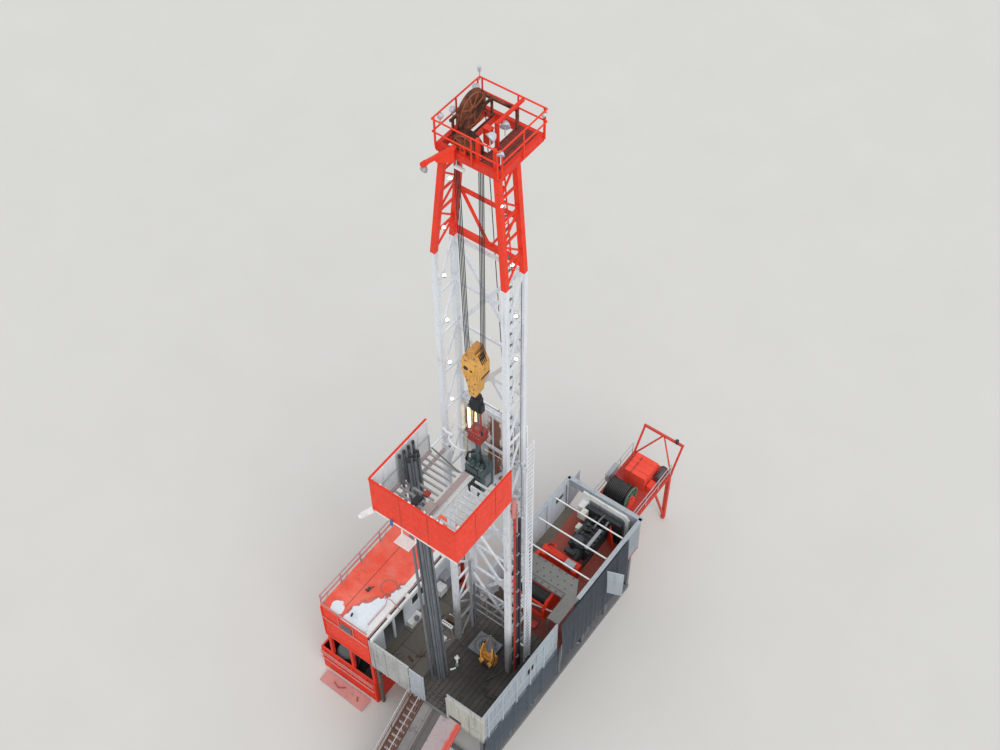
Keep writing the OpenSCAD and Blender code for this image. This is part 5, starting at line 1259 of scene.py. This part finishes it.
# Bolts on the drawworks' roof plate, in staggered rows
k = Kit()
for i in range(9):
    for j in range(4):
        k.post(-1.45 + 0.41 * i + 0.13 * (j % 2), 3.63 - 0.36 * j, 6.695, 6.715, 0.075, 0, 8)
k.make("roof_bolts", "black")

# Drum: turns of wire rope side by side
k = Kit()
for i in range(26):
    k.ring((-0.72 + i * 0.062, 2.80, 4.90), (1, 0, 0), 0.66, 0.06, 0, 32, 6)
k.make("drum_rope", "rope", body="drum")

# Reel: hose wound on it, the green rim with its spokes and hub
REEL_Y, REEL_Z = 10.20, 4.93
k = Kit()
for i in range(11):
    k.ring((-0.25 + i * 0.10, REEL_Y, REEL_Z), (1, 0, 0), 1.12, 0.10, 0, 36, 8)
k.ring((0.955, REEL_Y, REEL_Z), (1, 0, 0), 1.20, 0.09, 1, 40, 8)
for i in range(8):
    a = 2 * math.pi * i / 8
    ends = [(0.96, REEL_Y + r * math.cos(a), REEL_Z + r * math.sin(a)) for r in (0.12, 0.60)]
    k.bar(*ends, 0.07, 0.03, 1, (1, 0, 0))
k.tube([(0.93, REEL_Y, REEL_Z), (1.0, REEL_Y, REEL_Z)], 0.30, 1, 20)
k.make("reel_hose", "rubber reel_green", body="reel")

# Tail skid: pale box on the rail, chest handles, grating, round cap on the end box
k = Kit()
k.box((-0.86, 10.55, 4.60), (-0.62, 11.50, 5.14))
for y in (11.2, 11.55, 11.85, 12.2):
    k.tube([(0.2, y, 5.31), (0.2, y + 0.14, 5.36), (0.2, y + 0.28, 5.31)], 0.03, 1, 8)
for y in np.arange(8.6, 13.2, 0.16):
    k.box((-0.70, y, 4.205), (1.60, y + 0.03, 4.225), 2)
k.post(1.30, 14.05, 5.70, 5.86, 0.14, 3, 14)
k.post(1.30, 14.05, 5.86, 5.98, 0.2, 3, 14)
k.make("tail_fittings", "pale_blue black deep_red black", 0.004)


# Hanging covers
SHEET_STEP, SHEET_ROWS, SHEET_THICK = 0.06, 26, 0.004


def hung_sheet(name, y0, y1, x, z_top, z_low, look, seed, fold, bow):
    """A cloth hung by its top edge along a wall, with loose folds, and its area."""
    ny, nz = int((y1 - y0) / SHEET_STEP), SHEET_ROWS
    points, faces = [], []
    for i in range(ny + 1):
        y = y0 + (y1 - y0) * i / ny
        low = z_low + 0.05 * math.sin(1.7 * y + seed) + 0.03 * math.sin(5.1 * y + seed)
        for j in range(nz + 1):
            t = j / nz
            broad = math.sin(5.2 * y + seed + 0.8 * math.sin(2 * t))
            wave = fold * t ** 0.7 * (0.6 * broad + 0.4 * math.sin(11.3 * y + 2 * seed))
            sag = bow * math.sin(math.pi * t * 0.8) * 0.6
            points.append((x + 0.012 + abs(wave) * 0.8 + sag + wave * 0.35, y, z_top + (low - z_top) * t))
    for i in range(ny):
        for a in range(i * (nz + 1), i * (nz + 1) + nz):
            faces.append((a, a + nz + 1, a + nz + 2, a + 1))
    obj = solid(name, points, faces, [look])
    obj.data.polygons.foreach_set("use_smooth", [True] * len(faces))
    thick = obj.modifiers.new("thickness", "SOLIDIFY")
    thick.thickness = SHEET_THICK
    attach(obj, "rig")
    return obj, sum(p.area for p in obj.data.polygons)


curtain, area = hung_sheet("house_curtain", 1.25, 7.1, 2.74, 6.62, 2.75, "curtain", 0.4, 0.06, 0.16)
skirt, area = hung_sheet("windwall_skirt", -4.72, 1.15, 2.665, 4.30, 1.9, "skirt", 1.9, 0.05, 0.10)

# Stage: a pale floor just under the rig's feet
STAGE_HALF, STAGE_Z = 150.0, -0.002
s = Shader("stage_pale", 0.9)
M["stage"] = done(s, s.blend(s.noise(0.2, 3), (196, 194, 190), (203, 201, 198)))
corners = [(STAGE_HALF * a, STAGE_HALF * b, STAGE_Z) for a, b in ((-1, -1), (1, -1), (1, 1), (-1, 1))]
solid("stage_floor", corners, [(0, 1, 2, 3)], ["stage"])

# World: even light, seen as a pale grey by the camera, in reflections and through glass
SKY_COLOUR, SKY_STRENGTH = (0.95, 0.98, 1.0, 1), 0.92
SEEN_COLOUR, SEEN_STRENGTH = (0.86, 0.87, 0.88, 1), 1.0

world = bpy.data.worlds.new("studio")
bpy.context.scene.world = world
world.use_nodes = True
tree = world.node_tree
tree.nodes.clear()


def background(colour, strength):
    n = tree.nodes.new("ShaderNodeBackground")
    n.inputs["Color"].default_value = colour
    n.inputs["Strength"].default_value = strength
    return n.outputs[0]


path = tree.nodes.new("ShaderNodeLightPath").outputs
share = path["Is Camera Ray"]
for kind in ("Is Glossy Ray", "Is Transmission Ray"):
    most = tree.nodes.new("ShaderNodeMath")
    most.operation = "MAXIMUM"
    tree.links.new(share, most.inputs[0])
    tree.links.new(path[kind], most.inputs[1])
    share = most.outputs[0]
mixer = tree.nodes.new("ShaderNodeMixShader")
sides = (share, background(SKY_COLOUR, SKY_STRENGTH), background(SEEN_COLOUR, SEEN_STRENGTH))
for socket, side in zip(mixer.inputs, sides):
    tree.links.new(side, socket)
tree.links.new(mixer.outputs[0], tree.nodes.new("ShaderNodeOutputWorld").inputs[0])

# A wide soft sun from the front right
SUN_AIM = Vector((-0.75, 0.6, -1.0))
sun_data = bpy.data.lights.new("soft_sun", "SUN")
sun_data.energy = 1.45
sun_data.angle = math.radians(50)
sun_data.color = (1.0, 0.985, 0.96)
sun = link("soft_sun", sun_data)
sun.rotation_euler = SUN_AIM.to_track_quat("-Z", "Y").to_euler()

bpy.context.scene.view_settings.view_transform = "Standard"
